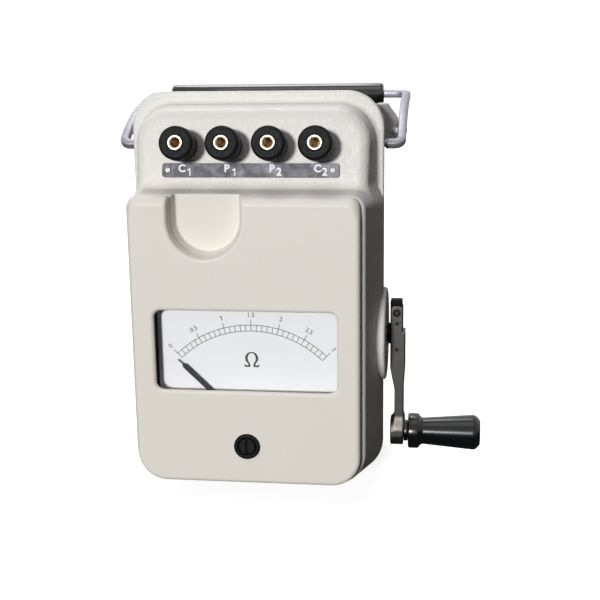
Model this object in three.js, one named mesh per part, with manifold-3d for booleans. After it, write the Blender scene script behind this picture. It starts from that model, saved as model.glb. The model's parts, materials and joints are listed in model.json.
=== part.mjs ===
// Hand-cranked earth tester, built in millimetres with +Z up.
// The front faces -Y, the crank is on the +X side, and the carrying handle lies back over the rear.
// While it is built, x = 0 is the middle of the case, y = 0 is the front cover's face, z = 0 is the floor.
import * as THREE from 'three';
import * as BufferGeometryUtils from 'three/addons/utils/BufferGeometryUtils.js';
import Module from 'manifold-3d';

const wasm = await Module();
wasm.setup();

const radians = THREE.MathUtils.degToRad;

// Gaps and overruns that every fit shares
const fitGap = 0.3;
const runningGap = 0.3;
const cutOverrun = 1;
const wall = 2.6;

// Case: half widths from the middle, heights up from the floor and depths back from the cover's face
const footHeight = 3;
const rimHalfWidth = 62;
const rimY = 46.3;
const rimThickness = 3.7;
const rimTopCornerRadius = 18;
const rimFaceSideWidth = 3.5;
const rimFaceTopWidth = 5.7;
const jointY = rimY + rimThickness;

// Front cover and the meter behind it, each height worked out from the one below
const coverThickness = 5;
const coverSideStep = 8.2;
const coverHalfWidth = rimHalfWidth - coverSideStep;
const coverRise = 10.3;
const coverBottom = footHeight + coverRise;
const housingRise = 9.7;
const housingBottom = coverBottom + housingRise;
const pivotX = 1.53;
const pivotRise = 15.1;
const pivotZ = housingBottom + pivotRise;
const adjusterDrop = 5.8;
const adjusterZ = pivotZ - adjusterDrop;
const windowRise = 21.5;
const windowBottom = pivotZ + windowRise;
const windowHeight = 38.2;
const windowTop = windowBottom + windowHeight;
const windowSideRoom = 10.7;
const windowHalfWidth = coverHalfWidth - windowSideRoom;
const windowCornerRadius = 3.5;
const housingTopRoom = 3.4;
const housingTop = windowTop + housingTopRoom;
const housingSideRoom = 2.9;
const housingHalfWidth = windowHalfWidth + housingSideRoom;
const coverAboveWindow = 53.4;
const coverTop = windowTop + coverAboveWindow;
const coverBottomCornerRadius = 14;
const coverTopCornerRadius = 5.5;
const coverEdgeRadius = 2.2;
const coverTopBevel = 6;

const bodyLedge = 1.4;
const bodyEdgeRadius = 4;
const bodyDraftDegrees = 9;
const bodyBottomCornerRadius = 16;
const shoulderRise = 1.8;
const shoulderTop = coverTop + shoulderRise;
const shoulderCornerRadius = 12;

// Sloping terminal panel above the cover, and the rim over it
const panelLeanDegrees = 10;
const panelY = 26;
const labelRise = 9.3;
const panelZ = coverTop + labelRise;
const terminalClimb = 11.5;
const terminalBaseZ = panelZ + terminalClimb;
const rimAboveTerminals = 24.5;
const rimTop = terminalBaseZ + rimAboveTerminals;
const panelBlockFrontY = 20;
const panelCornerRadius = 14;

const rearSideStep = 5.5;
const rearHalfWidth = rimHalfWidth - rearSideStep;
const rearTopStep = 6.5;
const rearTop = rimTop - rearTopStep;
const rearCornerRadius = 10;
const rearWallThickness = 3;
const rearEdgeBevel = 1.5;

// Thumb scoop in the cover's top edge, with its floor in the front body
const scoopX = -17.9;
const scoopHalfWidth = 17.5;
const scoopDepth = 28.9;
const scoopBottom = coverTop - scoopDepth;
const scoopFloorY = 11;
const scoopDraft = 2.2;

// Meter: glass, housing, dial, movement and pointer
const glassMargin = 2.2;
const glassThickness = 1.6;
const glassSeatDepth = 1.8;
const housingWall = 2;
const housingCornerRadius = 4;
const dialY = 9.5;
const dialThickness = 0.8;
const dialShaftHoleRadius = 4;
const pointerRestDegrees = 46;
const pointerSideRoom = 7.6;
const pointerLength = (windowHalfWidth - pointerSideRoom) / Math.sin(radians(pointerRestDegrees));
const pointerTipLength = 3.2;
const pointerBladeLength = pointerLength - pointerTipLength;
const pointerHalfWidth = 1.15;
const pointerTipHalfWidth = 0.3;
const pointerTailLength = 9;
const pointerThickness = 0.6;
const pointerLift = 1.6;
const pointerHubRadius = 2.6;
const movementShaftRadius = 0.9;
const movementPlateRadius = 9.4;
const movementMagnetHalfWidth = 17;
const movementPlateThickness = 1.3;
const movementMagnetInnerRadius = 8.2;
const movementMagnetLength = 12;
const coilRadius = 7.2;
const housingBackRoom = 4.3;

// Zero adjuster below the window
const adjusterFlangeRadius = 6.25;
const adjusterNeckRadius = 5;
const adjusterFlangeProud = 1.3;
const adjusterScrewRadius = 3.9;
const adjusterScrewRecess = 0.3;
const adjusterSlotWidth = 1.1;
const adjusterSlotDepth = 1;
const adjusterScrewLength = 7.6;

// Terminals on the sloping panel
const terminalPitch = 21.6;
const terminalKnobRadius = 8;
const terminalKnobLength = 10.5;
const terminalKnobEdge = 1.2;
const terminalCollarRadius = 7.1;
const terminalCollarLength = 5.8;
const terminalStudRadius = 3.55;
const terminalSocketRadius = 2.15;
const terminalSocketDepth = 14;
const terminalStudProud = 0.4;
const terminalStudInside = 13;
const terminalNames = ['c1', 'p1', 'p2', 'c2'];
const terminalSpanHalf = terminalPitch * (terminalNames.length - 1) / 2;

// Label plate under the terminals
const labelOverhang = 10;
const labelHalfWidth = terminalSpanHalf + labelOverhang;
const labelHeight = 6.2;
const labelThickness = 0.8;
const labelCornerRadius = 1.6;
const labelScrewInset = 3.05;
const labelScrewX = labelHalfWidth - labelScrewInset;
const labelScrewRadius = 1.3;
const labelScrewHeadHeight = 0.6;
const labelScrewShankRadius = 0.8;
const labelScrewShankLength = 2;

// Crank with its bearing housing and its folding arm, heights from the crank's axis
const crankY = 53.2;
const bearingHousingProud = 1.5;
const housingOuterX = rimHalfWidth + bearingHousingProud;
const bearingHousingRadius = 23.5;
const bearingHousingEdge = 1;
const crankShaftRadius = 4;
const crankHubRadius = 5.25;
const crankHubLength = 1.9;
const crankLugThicknessX = 5.2;
const crankLugHalfWidthY = 3.6;
const crankLugAbove = 17.7;
const crankLugBelow = 18.3;
const foldPinAbove = 11.5;
const foldPinRadius = 1.5;
const foldPinHeadProud = 0.6;
const armCheekThickness = 1.2;
const armCheekTopRadius = 4.3;
const armWebThickness = 1.2;
const armWebAbove = 1.7;
const armWaistBelow = 28.3;
const armTaperBelow = 18.3;
const armWaistInnerStep = 2;
const armTipBarDrop = 0.6;
const crankRadius = 51.6;
const armEndRadius = 7.3;
const spindleRadius = 2.4;
const spindleCollarRadius = 5.4;
const spindleCollarLength = 1.9;
const spindleEndShort = 2.4;
const gripLength = 36.5;
const gripFlangeRadius = 8.95;
const gripFlangeLength = 5;
const gripNeckRadius = 6.7;
const gripNeckStart = 7;
const gripEndRadius = 8.95;
const gripEndRound = 3;

// Gear train and generator behind the meter, set up from the floor of the case
const gearModule = 1.5;
const driveTeeth = 32;
const pinionTeeth = 8;
const secondTeeth = 28;
const rotorTeeth = 8;
const gearThickness = 3;
const trainAngleDegrees = -35;
const rotorAngleDegrees = -77;
const arborRadius = 2;
const rotorShaftRadius = 2.4;
const framePlateThickness = 2.4;
const frameOuterInset = 12.9;
const frameOuterX = housingOuterX - frameOuterInset;
const driveInset = 3.9;
const drivePlaneX = frameOuterX - driveInset;
const secondInset = 6.7;
const secondPlaneX = drivePlaneX - secondInset;
const frameInnerInset = 6;
const frameInnerX = secondPlaneX - frameInnerInset;
const frameMargin = 8;
const frameBaseBelow = 51.3;
const frameBaseAbove = 16.7;
const statorOuterRadius = 22.5;
const statorWall = 3.3;
const statorInnerRadius = statorOuterRadius - statorWall;
const statorFloorGap = 3.685;
const windingThickness = 1.9;
const windingInnerRadius = statorInnerRadius - windingThickness;
const airGap = 0.8;
const rotorRadius = windingInnerRadius - airGap;
const statorLength = 40;
const windingEndRecess = 3;
const rotorEndGap = 3;
const endBracketThickness = 2.5;
const driveRadius = gearModule * driveTeeth / 2;
const pinionRadius = gearModule * pinionTeeth / 2;
const secondRadius = gearModule * secondTeeth / 2;
const rotorPinionRadius = gearModule * rotorTeeth / 2;
const trainAngle = radians(trainAngleDegrees);
const rotorAngle = radians(rotorAngleDegrees);
const secondY = crankY + (driveRadius + pinionRadius) * Math.cos(trainAngle);
const rotorY = secondY + (secondRadius + rotorPinionRadius) * Math.cos(rotorAngle);
const rotorZ = footHeight + wall + statorFloorGap + statorOuterRadius;
const secondZ = rotorZ - (secondRadius + rotorPinionRadius) * Math.sin(rotorAngle);
const crankZ = secondZ - (driveRadius + pinionRadius) * Math.sin(trainAngle);

// The rear case is as deep as the generator needs
const statorBackRoom = 2.65;
const rearY = rotorY + statorOuterRadius + statorBackRoom + rearWallThickness;

// Measuring board and transformer behind the terminals
const boardSideStep = 11.8;
const boardHalfWidth = coverHalfWidth - boardSideStep;
const boardRise = 8.8;
const boardBottom = housingTop + boardRise;
const boardHeight = 38;
const boardTop = boardBottom + boardHeight;
const boardThickness = 1.6;
const boardY = 34;
const boardPostRadius = 3;
const boardPostInset = 5;
const transformerWidth = 30;
const transformerDepth = 20;
const transformerHeight = 24;

// Screws that hold the two halves of the case together
const caseScrewInset = 6;
const caseScrewX = rearHalfWidth - caseScrewInset;
const caseScrewRise = 9;
const caseScrewLowZ = footHeight + caseScrewRise;
const caseScrewDrop = 10;
const caseScrewHighZ = rearTop - caseScrewDrop;
const caseScrewRadius = 1.8;
const caseScrewHeadRadius = 3.6;
const caseScrewHeadHeight = 2;
const caseColumnRadius = 5;
const bodyColumnLength = 14;

// Feet
const footRadius = 6;
const footDraft = 0.6;
const footInset = 21;
const footX = rearHalfWidth - footInset;
const frontFootY = 43;
const rearFootInset = 12;
const rearFootY = rearY - rearFootInset;
const footPadMargin = 1;
const footPadDepth = 4;

// Carrying handle, hung from the rim's top
const handlePivotY = 57;
const handlePivotDrop = 26.2;
const handlePivotZ = rimTop - handlePivotDrop;
const handleSideRoom = 10;
const handleHalfSpan = rimHalfWidth + handleSideRoom;
const handleStripThickness = 4.4;
const handleStripWidth = 3.2;
const handleGripRoom = 16;
const handleGripY = rearY + handleGripRoom;
const handleGripDrop = 5.5;
const handleGripZ = rimTop - handleGripDrop;
const handleBowY = 80;
const handleBowDrop = 8.5;
const handleBowZ = rimTop - handleBowDrop;
const handleGripRadius = 6.2;
const handleGripEndRoom = 13;
const handleGripHalfLength = handleHalfSpan - handleGripEndRoom;
const handleRodRadius = 2;
const handlePinRadius = 2;
const handlePinLength = 6;
const earThickness = 3;
const earTopDrop = 7.5;
const earTop = rimTop - earTopDrop;
const earBottomRise = 2.4;
const earChamferWidth = 10;
const earChamferInner = handleHalfSpan - earChamferWidth;
const earChamferDrop = 15;
const earChamferOuterZ = rimTop - earChamferDrop;
const earRootDepth = 6.5;
const earRootX = rearHalfWidth - earRootDepth;
const stopRadius = 1.5;
const stopShare = 0.27;

const roundSegments = 24;
const smallSegments = 12;
const cornerSteps = 4;

// Finishes

function finish(color, roughness, metalness) {
  return new THREE.MeshStandardMaterial({ color, roughness, metalness });
}

const finishes = {
  enamel: finish('#dcd6cf', 0.55, 0),
  blackPlastic: finish('#0d0d0f', 0.35, 0),
  plate: finish('#3f3f49', 0.4, 0.2),
  white: finish('#eef1f5', 0.6, 0),
  glass: finish('#f2f6f8', 0.05, 0),
  nickel: finish('#cfcabf', 0.3, 1),
  brass: finish('#b08d4a', 0.35, 1),
  steel: finish('#8d8a86', 0.4, 1),
  copper: finish('#a5562e', 0.45, 1),
  magnet: finish('#4a4a4e', 0.5, 0.8),
  board: finish('#7a5a2c', 0.6, 0),
  rubber: finish('#161616', 0.9, 0),
};

// Solids

function solid(geometry) {
  const bare = geometry.clone();
  bare.deleteAttribute('normal');
  bare.deleteAttribute('uv');
  const merged = BufferGeometryUtils.mergeVertices(bare);
  const vertProperties = new Float32Array(merged.attributes.position.array);
  const triVerts = new Uint32Array(merged.index.array);
  return new wasm.Manifold(new wasm.Mesh({ numProp: 3, vertProperties, triVerts }));
}

function geometryOf(manifold) {
  const mesh = manifold.getMesh();
  const geometry = new THREE.BufferGeometry();
  geometry.setAttribute('position', new THREE.BufferAttribute(mesh.vertProperties, 3));
  geometry.setIndex(new THREE.BufferAttribute(mesh.triVerts, 1));
  geometry.computeVertexNormals();
  return geometry;
}

function join(...solids) {
  return solids.reduce((whole, piece) => whole.add(piece));
}

function cut(whole, ...tools) {
  return tools.reduce((rest, tool) => rest.subtract(tool), whole);
}

// An outline in the plane of two axes, pushed along the third one from a low to a high value.
// Along x the outline is (y, z), along y it is (x, z) and along z it is (x, y).

function pushed(shape, low, high) {
  return new THREE.ExtrudeGeometry(shape, { depth: high - low, bevelEnabled: false });
}

function alongX(shape, low, high) {
  const basis = new THREE.Matrix4().makeBasis(
    new THREE.Vector3(0, 1, 0), new THREE.Vector3(0, 0, 1), new THREE.Vector3(1, 0, 0));
  return solid(pushed(shape, low, high).applyMatrix4(basis.setPosition(low, 0, 0)));
}

function alongY(shape, low, high) {
  const basis = new THREE.Matrix4().makeBasis(
    new THREE.Vector3(1, 0, 0), new THREE.Vector3(0, 0, 1), new THREE.Vector3(0, -1, 0));
  return solid(pushed(shape, low, high).applyMatrix4(basis.setPosition(0, high, 0)));
}

function alongZ(shape, low, high) {
  return solid(pushed(shape, low, high).translate(0, 0, low));
}

function rectangle(left, right, bottom, top) {
  return polygon([[left, bottom], [right, bottom], [right, top], [left, top]]);
}

function polygon(points) {
  return new THREE.Shape(points.map(([a, b]) => new THREE.Vector2(a, b)));
}

function roundedRectangle(left, right, bottom, top, lowRadius, highRadius = lowRadius) {
  const middle = (left + right) / 2;
  const loop = roundedLoop((right - left) / 2, bottom, top, lowRadius, highRadius);
  return polygon(loop.map(([a, b]) => [a + middle, b]));
}

function circle(a, b, radius, segments = roundSegments) {
  const turn = 2 * Math.PI / segments;
  const points = Array.from({ length: segments }, (_, i) => [
    a + radius * Math.cos(i * turn), b + radius * Math.sin(i * turn)]);
  return polygon(points);
}

function box(xLow, xHigh, yLow, yHigh, zLow, zHigh) {
  return alongZ(rectangle(xLow, xHigh, yLow, yHigh), zLow, zHigh);
}

// A turned piece: its profile is a list of [radius, height], and its axis is local +Z.
function turned(profile, segments = roundSegments) {
  const points = profile.map(([radius, height]) => new THREE.Vector2(radius, height));
  return solid(new THREE.LatheGeometry(points, segments).rotateX(Math.PI / 2));
}

function turnedAlongX(profile, x, y, z, segments) {
  return turned(profile, segments).rotate([0, 90, 0]).translate([x, y, z]);
}

function turnedTowardFront(profile, x, y, z, segments) {
  return turned(profile, segments).rotate([90, 0, 0]).translate([x, y, z]);
}

function turnedTowardRear(profile, x, y, z, segments) {
  return turned(profile, segments).rotate([-90, 0, 0]).translate([x, y, z]);
}

function rod(radius, length) {
  return [[0, 0], [radius, 0], [radius, length], [0, length]];
}

function tube(innerRadius, outerRadius, length) {
  return [
    [innerRadius, 0], [outerRadius, 0], [outerRadius, length], [innerRadius, length], [innerRadius, 0],
  ];
}

// The corner points of a rounded rectangle that is centred on x = 0, run anticlockwise.
function roundedLoop(halfWidth, bottom, top, lowRadius, highRadius) {
  const corners = [
    [halfWidth - lowRadius, bottom + lowRadius, lowRadius, -90],
    [halfWidth - highRadius, top - highRadius, highRadius, 0],
    [-halfWidth + highRadius, top - highRadius, highRadius, 90],
    [-halfWidth + lowRadius, bottom + lowRadius, lowRadius, 180],
  ];
  return corners.flatMap(([a, b, radius, start]) => Array.from({ length: cornerSteps + 1 }, (_, i) => {
    const angle = radians(start + 90 * i / cornerSteps);
    return [a + radius * Math.cos(angle), b + radius * Math.sin(angle)];
  }));
}

// A closed skin through rounded rectangles that stand one behind another, from the front to the rear.
function loft(sections) {
  const loops = sections.map(({ y, halfWidth, bottom, top, lowRadius, highRadius }) =>
    roundedLoop(halfWidth, bottom, top, lowRadius, highRadius).map(([x, z]) => [x, y, z]));
  const count = loops[0].length;
  const positions = loops.flat(2);
  const indices = [];
  for (let ring = 0; ring + 1 < loops.length; ring += 1) {
    for (let i = 0; i < count; i += 1) {
      const here = ring * count + i;
      const next = ring * count + (i + 1) % count;
      indices.push(here, here + count, next, next, here + count, next + count);
    }
  }
  const last = (loops.length - 1) * count;
  for (let i = 1; i + 1 < count; i += 1) {
    indices.push(0, i, i + 1, last, last + i + 1, last + i);
  }
  const geometry = new THREE.BufferGeometry();
  geometry.setAttribute('position', new THREE.Float32BufferAttribute(positions, 3));
  geometry.setIndex(indices);
  return solid(geometry);
}

function section(y, halfWidth, bottom, top, lowRadius, highRadius) {
  return { y, halfWidth, bottom, top, lowRadius, highRadius };
}

function inset(sections, thickness) {
  return sections.map((at) => section(
    at.y, at.halfWidth - thickness, at.bottom + thickness, at.top - thickness,
    Math.max(at.lowRadius - thickness, fitGap), Math.max(at.highRadius - thickness, fitGap)));
}

// The model

const tester = new THREE.Group();

function add(name, manifold, material, parent = tester) {
  const mesh = new THREE.Mesh(geometryOf(manifold), material);
  mesh.name = name;
  parent.add(mesh);
  return mesh;
}

// Values shared by pieces that meet

const bodyFrontY = coverThickness + fitGap;
const movementPlateY = dialY + dialThickness + fitGap;
const movementMagnetY = movementPlateY + movementPlateThickness + fitGap;
const movementBackY = movementMagnetY + movementMagnetLength + fitGap;
const housingFloorY = movementBackY + housingBackRoom;
const pointerY = dialY - pointerLift - pointerThickness;
const draft = Math.tan(radians(bodyDraftDegrees));
const lean = radians(panelLeanDegrees);
const rearFrontY = jointY + fitGap;
const armPlaneX = housingOuterX + fitGap + crankHubLength + fitGap;
const armOuterX = armPlaneX + crankLugThicknessX + fitGap;
const gripZ = crankZ - crankRadius;
const foldPinZ = crankZ + foldPinAbove;
const armTaperZ = crankZ - armTaperBelow;
const armWaistZ = crankZ - armWaistBelow;
const armWebTop = crankZ + armWebAbove;
const frameBaseBottom = crankZ - frameBaseBelow;
const frameBaseTop = crankZ + frameBaseAbove;
const caseScrewPlaces = [
  ['case_screw_lower_left', -caseScrewX, caseScrewLowZ],
  ['case_screw_lower_right', caseScrewX, caseScrewLowZ],
  ['case_screw_upper_left', -caseScrewX, caseScrewHighZ],
  ['case_screw_upper_right', caseScrewX, caseScrewHighZ],
];

// Front body: a drafted box, a narrower block with the sloping terminal panel, and the rim round the joint

function lowerBodySections() {
  const frontHalfWidth = rimHalfWidth - (rimY - bodyFrontY) * draft;
  const frontBottom = coverBottom - bodyLedge;
  const frontTop = coverTop;
  const edge = bodyEdgeRadius * draft;
  return [
    section(bodyFrontY, frontHalfWidth - edge, frontBottom + edge, frontTop - edge,
      coverBottomCornerRadius, coverTopCornerRadius),
    section(bodyFrontY + edge, frontHalfWidth, frontBottom, frontTop,
      bodyBottomCornerRadius, coverTopCornerRadius + edge),
    section(rimY, rimHalfWidth, footHeight, shoulderTop, rimTopCornerRadius, shoulderCornerRadius),
    section(jointY, rimHalfWidth, footHeight, shoulderTop, rimTopCornerRadius, shoulderCornerRadius),
  ];
}

function panelBlockSections() {
  const halfWidth = rimHalfWidth - rimFaceSideWidth;
  const top = rimTop - rimFaceTopWidth;
  const depth = rimY - panelBlockFrontY;
  const frontHalfWidth = halfWidth - depth * draft;
  const frontTop = top - depth * draft;
  return [
    section(panelBlockFrontY, frontHalfWidth, boardBottom, frontTop,
      coverTopCornerRadius, panelCornerRadius),
    section(rimY, halfWidth, boardBottom, top, coverTopCornerRadius, rimTopCornerRadius),
    section(jointY, halfWidth, boardBottom, top, coverTopCornerRadius, rimTopCornerRadius),
  ];
}

// Everything in front of the sloping panel, moved back by an offset for the inner face
function aheadOfPanel(offset) {
  const low = boardBottom;
  const high = rimTop + cutOverrun;
  const slope = Math.tan(lean);
  const outline = polygon([
    [-cutOverrun, low],
    [panelY + (low - panelZ) * slope + offset, low],
    [panelY + (high - panelZ) * slope + offset, high],
    [-cutOverrun, high],
  ]);
  return alongX(outline, -rimHalfWidth - cutOverrun, rimHalfWidth + cutOverrun);
}

function panelFrame() {
  const frame = new THREE.Group();
  frame.rotation.x = Math.PI / 2 - lean;
  frame.position.set(0, panelY, panelZ);
  return frame;
}

const terminalRise = (terminalBaseZ - panelZ) / Math.cos(lean);
const terminalX = terminalNames.map((_, i) => i * terminalPitch - terminalSpanHalf);

function inPanelFrame(manifold) {
  return manifold.rotate([90 - panelLeanDegrees, 0, 0]).translate([0, panelY, panelZ]);
}

function terminalHoles() {
  const radius = terminalStudRadius + fitGap;
  const length = terminalStudInside + terminalCollarLength;
  return terminalX.map((x) => inPanelFrame(
    turned(rod(radius, length), smallSegments).translate([x, terminalRise, -terminalStudInside])));
}

function labelScrewHoles() {
  const radius = labelScrewShankRadius + fitGap;
  const length = labelScrewShankLength + fitGap + cutOverrun;
  return [-labelScrewX, labelScrewX].map((x) => inPanelFrame(
    turned(rod(radius, length), smallSegments).translate([x, 0, -labelScrewShankLength - fitGap])));
}

function bearingHousingSpace() {
  const radius = bearingHousingRadius + fitGap;
  return turnedAlongX(rod(radius, rimHalfWidth), frameOuterX, crankY, crankZ);
}

function boardPosts() {
  const length = boardY - fitGap - bodyFrontY - wall / 2;
  const post = rod(boardPostRadius, length);
  const heights = [boardTop - boardPostInset, boardBottom + boardPostInset];
  const sides = [-boardHalfWidth + boardPostInset, boardHalfWidth - boardPostInset];
  return sides.flatMap((x) => heights.map((z) =>
    turnedTowardRear(post, x, bodyFrontY + wall / 2, z, smallSegments)));
}

function bodyColumns(radius, start) {
  return caseScrewPlaces.map(([, x, z]) =>
    turnedTowardFront(rod(radius, bodyColumnLength), x, start, z, smallSegments));
}

function frontFootPads() {
  const radius = footRadius + footPadMargin;
  return [-footX, footX].map((x) =>
    alongZ(circle(x, frontFootY, radius), footHeight, footHeight + footPadDepth));
}

function buildFrontBody() {
  const lower = lowerBodySections();
  const block = panelBlockSections();
  const upper = cut(loft(block), aheadOfPanel(0));
  const rimLoop = roundedRectangle(-rimHalfWidth, rimHalfWidth, footHeight, rimTop, rimTopCornerRadius);
  const outer = join(loft(lower), upper, alongY(rimLoop, rimY, jointY));
  const lowerInside = inset(lower, wall);
  lowerInside[0].y += wall;
  lowerInside[1].y += wall;
  lowerInside[3].y += cutOverrun;
  const blockInside = inset(block, wall);
  blockInside[0].bottom = boardBottom + wall;
  blockInside[2].y += cutOverrun;
  const inside = join(loft(lowerInside), cut(loft(blockInside), aheadOfPanel(wall)));
  const meterHole = alongY(roundedRectangle(-housingHalfWidth - fitGap, housingHalfWidth + fitGap,
    housingBottom - fitGap, housingTop + fitGap, housingCornerRadius), bodyFrontY - cutOverrun, rimY);
  const scoopTop = shoulderTop + wall;
  const scoopWall = scoopTool(bodyFrontY, scoopFloorY + wall, wall, scoopTop);
  const scoop = scoopTool(bodyFrontY - cutOverrun, scoopFloorY, 0, scoopTop + cutOverrun);
  const clipped = join(...bodyColumns(caseColumnRadius, jointY), ...boardPosts(), ...frontFootPads(), scoopWall);
  return cut(join(cut(outer, inside), clipped.intersect(outer)), meterHole, bearingHousingSpace(), scoop,
    ...terminalHoles(), ...labelScrewHoles(), ...bodyColumns(caseScrewRadius + fitGap, jointY + cutOverrun));
}

// Front cover: a thick slab with rounded edges, the meter window and the thumb scoop

function coverSections() {
  const back = section(coverThickness, coverHalfWidth, coverBottom, coverTop,
    coverBottomCornerRadius, coverTopCornerRadius);
  const shoulder = { ...back, y: coverEdgeRadius };
  const half = coverEdgeRadius * (1 - Math.SQRT1_2);
  const middle = section(half, coverHalfWidth - half, coverBottom + half, coverTop - coverTopBevel / 2,
    coverBottomCornerRadius - half, coverTopCornerRadius);
  const face = section(0, coverHalfWidth - coverEdgeRadius, coverBottom + coverEdgeRadius,
    coverTop - coverTopBevel, coverBottomCornerRadius - coverEdgeRadius, coverTopCornerRadius);
  return [face, middle, shoulder, back];
}

// The scoop's space from one depth to another, or with a margin the wall around it
function scoopTool(start, end, margin, top) {
  const slope = scoopDraft / scoopFloorY;
  const centreZ = scoopBottom + scoopHalfWidth;
  const reach = top - centreZ;
  const frontOutline = scoopOutline(scoopHalfWidth + margin - slope * start, reach);
  const backOutline = scoopOutline(scoopHalfWidth + margin - slope * end, reach);
  const count = frontOutline.length;
  const positions = [
    ...frontOutline.flatMap(([x, z]) => [scoopX + x, start, centreZ + z]),
    ...backOutline.flatMap(([x, z]) => [scoopX + x, end, centreZ + z]),
  ];
  const indices = [];
  for (let i = 0; i < count; i += 1) {
    const next = (i + 1) % count;
    indices.push(i, i + count, next, next, i + count, next + count);
  }
  for (let i = 1; i + 1 < count; i += 1) {
    indices.push(0, i, i + 1, count, count + i + 1, count + i);
  }
  const geometry = new THREE.BufferGeometry();
  geometry.setAttribute('position', new THREE.Float32BufferAttribute(positions, 3));
  geometry.setIndex(indices);
  return solid(geometry);
}

function scoopOutline(radius, reach) {
  const round = Array.from({ length: roundSegments / 2 + 1 }, (_, i) => {
    const angle = Math.PI + 2 * Math.PI * i / roundSegments;
    return [radius * Math.cos(angle), radius * Math.sin(angle)];
  });
  return [...round, [radius, reach], [-radius, reach]];
}

function windowShape(margin) {
  return roundedRectangle(-windowHalfWidth - margin, windowHalfWidth + margin,
    windowBottom - margin, windowTop + margin, windowCornerRadius + margin / 2);
}

function buildCover() {
  const windowCut = alongY(windowShape(0), -cutOverrun, coverThickness + cutOverrun);
  const seat = alongY(windowShape(glassMargin + fitGap), glassSeatDepth, coverThickness + cutOverrun);
  const adjusterHole = turnedTowardRear(rod(adjusterNeckRadius + fitGap, coverThickness + 2 * cutOverrun),
    0, -cutOverrun, adjusterZ);
  const scoop = scoopTool(-cutOverrun, coverThickness + cutOverrun, 0, coverTop + cutOverrun);
  return cut(loft(coverSections()), windowCut, seat, adjusterHole, scoop);
}

// Meter: glass, housing, dial, movement and pointer

function buildMeterHousing() {
  const front = coverThickness + fitGap;
  const outer = alongY(roundedRectangle(-housingHalfWidth, housingHalfWidth, housingBottom, housingTop,
    housingCornerRadius), front, housingFloorY + housingWall);
  const inner = alongY(roundedRectangle(-housingHalfWidth + housingWall, housingHalfWidth - housingWall,
    housingBottom + housingWall, housingTop - housingWall, housingCornerRadius - housingWall),
  front - cutOverrun, housingFloorY);
  const post = turnedTowardRear(tube(movementShaftRadius + runningGap, movementMagnetInnerRadius,
    housingFloorY + housingWall - movementBackY), pivotX, movementBackY, pivotZ);
  return join(cut(outer, inner), post);
}


function buildDial() {
  const reach = housingHalfWidth - housingWall - fitGap;
  const plate = alongY(roundedRectangle(-reach, reach, housingBottom + housingWall + fitGap,
    housingTop - housingWall - fitGap, housingCornerRadius - housingWall), dialY, dialY + dialThickness);
  const hole = turnedTowardRear(rod(dialShaftHoleRadius, dialThickness + 2 * cutOverrun),
    pivotX, dialY - cutOverrun, pivotZ);
  return cut(plate, hole);
}

function buildPointer() {
  const outline = polygon([
    [-pointerHalfWidth, -pointerTailLength], [pointerHalfWidth, -pointerTailLength],
    [pointerHalfWidth, pointerBladeLength], [pointerTipHalfWidth, pointerBladeLength + pointerHalfWidth],
    [pointerTipHalfWidth, pointerLength], [-pointerTipHalfWidth, pointerLength],
    [-pointerTipHalfWidth, pointerBladeLength + pointerHalfWidth], [-pointerHalfWidth, pointerBladeLength],
  ]);
  const blade = alongY(outline, 0, pointerThickness);
  const hub = turnedTowardRear(rod(pointerHubRadius, pointerThickness), 0, 0, 0, smallSegments);
  const hole = turnedTowardRear(rod(movementShaftRadius + fitGap, pointerThickness + 2 * cutOverrun),
    0, -cutOverrun, 0, smallSegments);
  const atRest = cut(join(blade, hub), hole).rotate([0, -pointerRestDegrees, 0]);
  return atRest.translate([pivotX, pointerY, pivotZ]);
}

function buildMovingCoil() {
  const length = movementMagnetLength - 2 * fitGap;
  const start = movementMagnetY + fitGap;
  const shaftStart = pointerY - fitGap;
  const shaftEnd = housingFloorY - fitGap;
  return join(
    turnedTowardRear(rod(coilRadius, length), pivotX, start, pivotZ),
    turnedTowardRear(rod(movementShaftRadius, shaftEnd - shaftStart), pivotX, shaftStart, pivotZ,
      smallSegments));
}

function buildMeter() {
  const glassFront = glassSeatDepth + fitGap;
  const pane = alongY(windowShape(glassMargin), glassFront, glassFront + glassThickness);
  add('window_glass', pane, finishes.glass);
  add('meter_housing', buildMeterHousing(), finishes.blackPlastic);
  add('dial_plate', buildDial(), finishes.white);
  add('movement_plate', turnedTowardRear(tube(movementShaftRadius + runningGap, movementPlateRadius,
    movementPlateThickness), pivotX, movementPlateY, pivotZ), finishes.brass);
  add('movement_magnet', buildMovementMagnet(), finishes.magnet);
  add('moving_coil', buildMovingCoil(), finishes.copper);
  add('pointer', buildPointer(), finishes.blackPlastic);
}

function buildMovementMagnet() {
  const floor = housingBottom + housingWall + fitGap;
  const block = box(pivotX - movementMagnetHalfWidth, pivotX + movementMagnetHalfWidth, movementMagnetY,
    movementMagnetY + movementMagnetLength, floor, pivotZ + movementMagnetHalfWidth);
  const bore = turnedTowardRear(rod(movementMagnetInnerRadius, movementMagnetLength + 2 * cutOverrun),
    pivotX, movementMagnetY - cutOverrun, pivotZ);
  return cut(block, bore);
}

// Zero adjuster: a flanged bush in the cover and a slotted screw that turns in it

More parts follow.
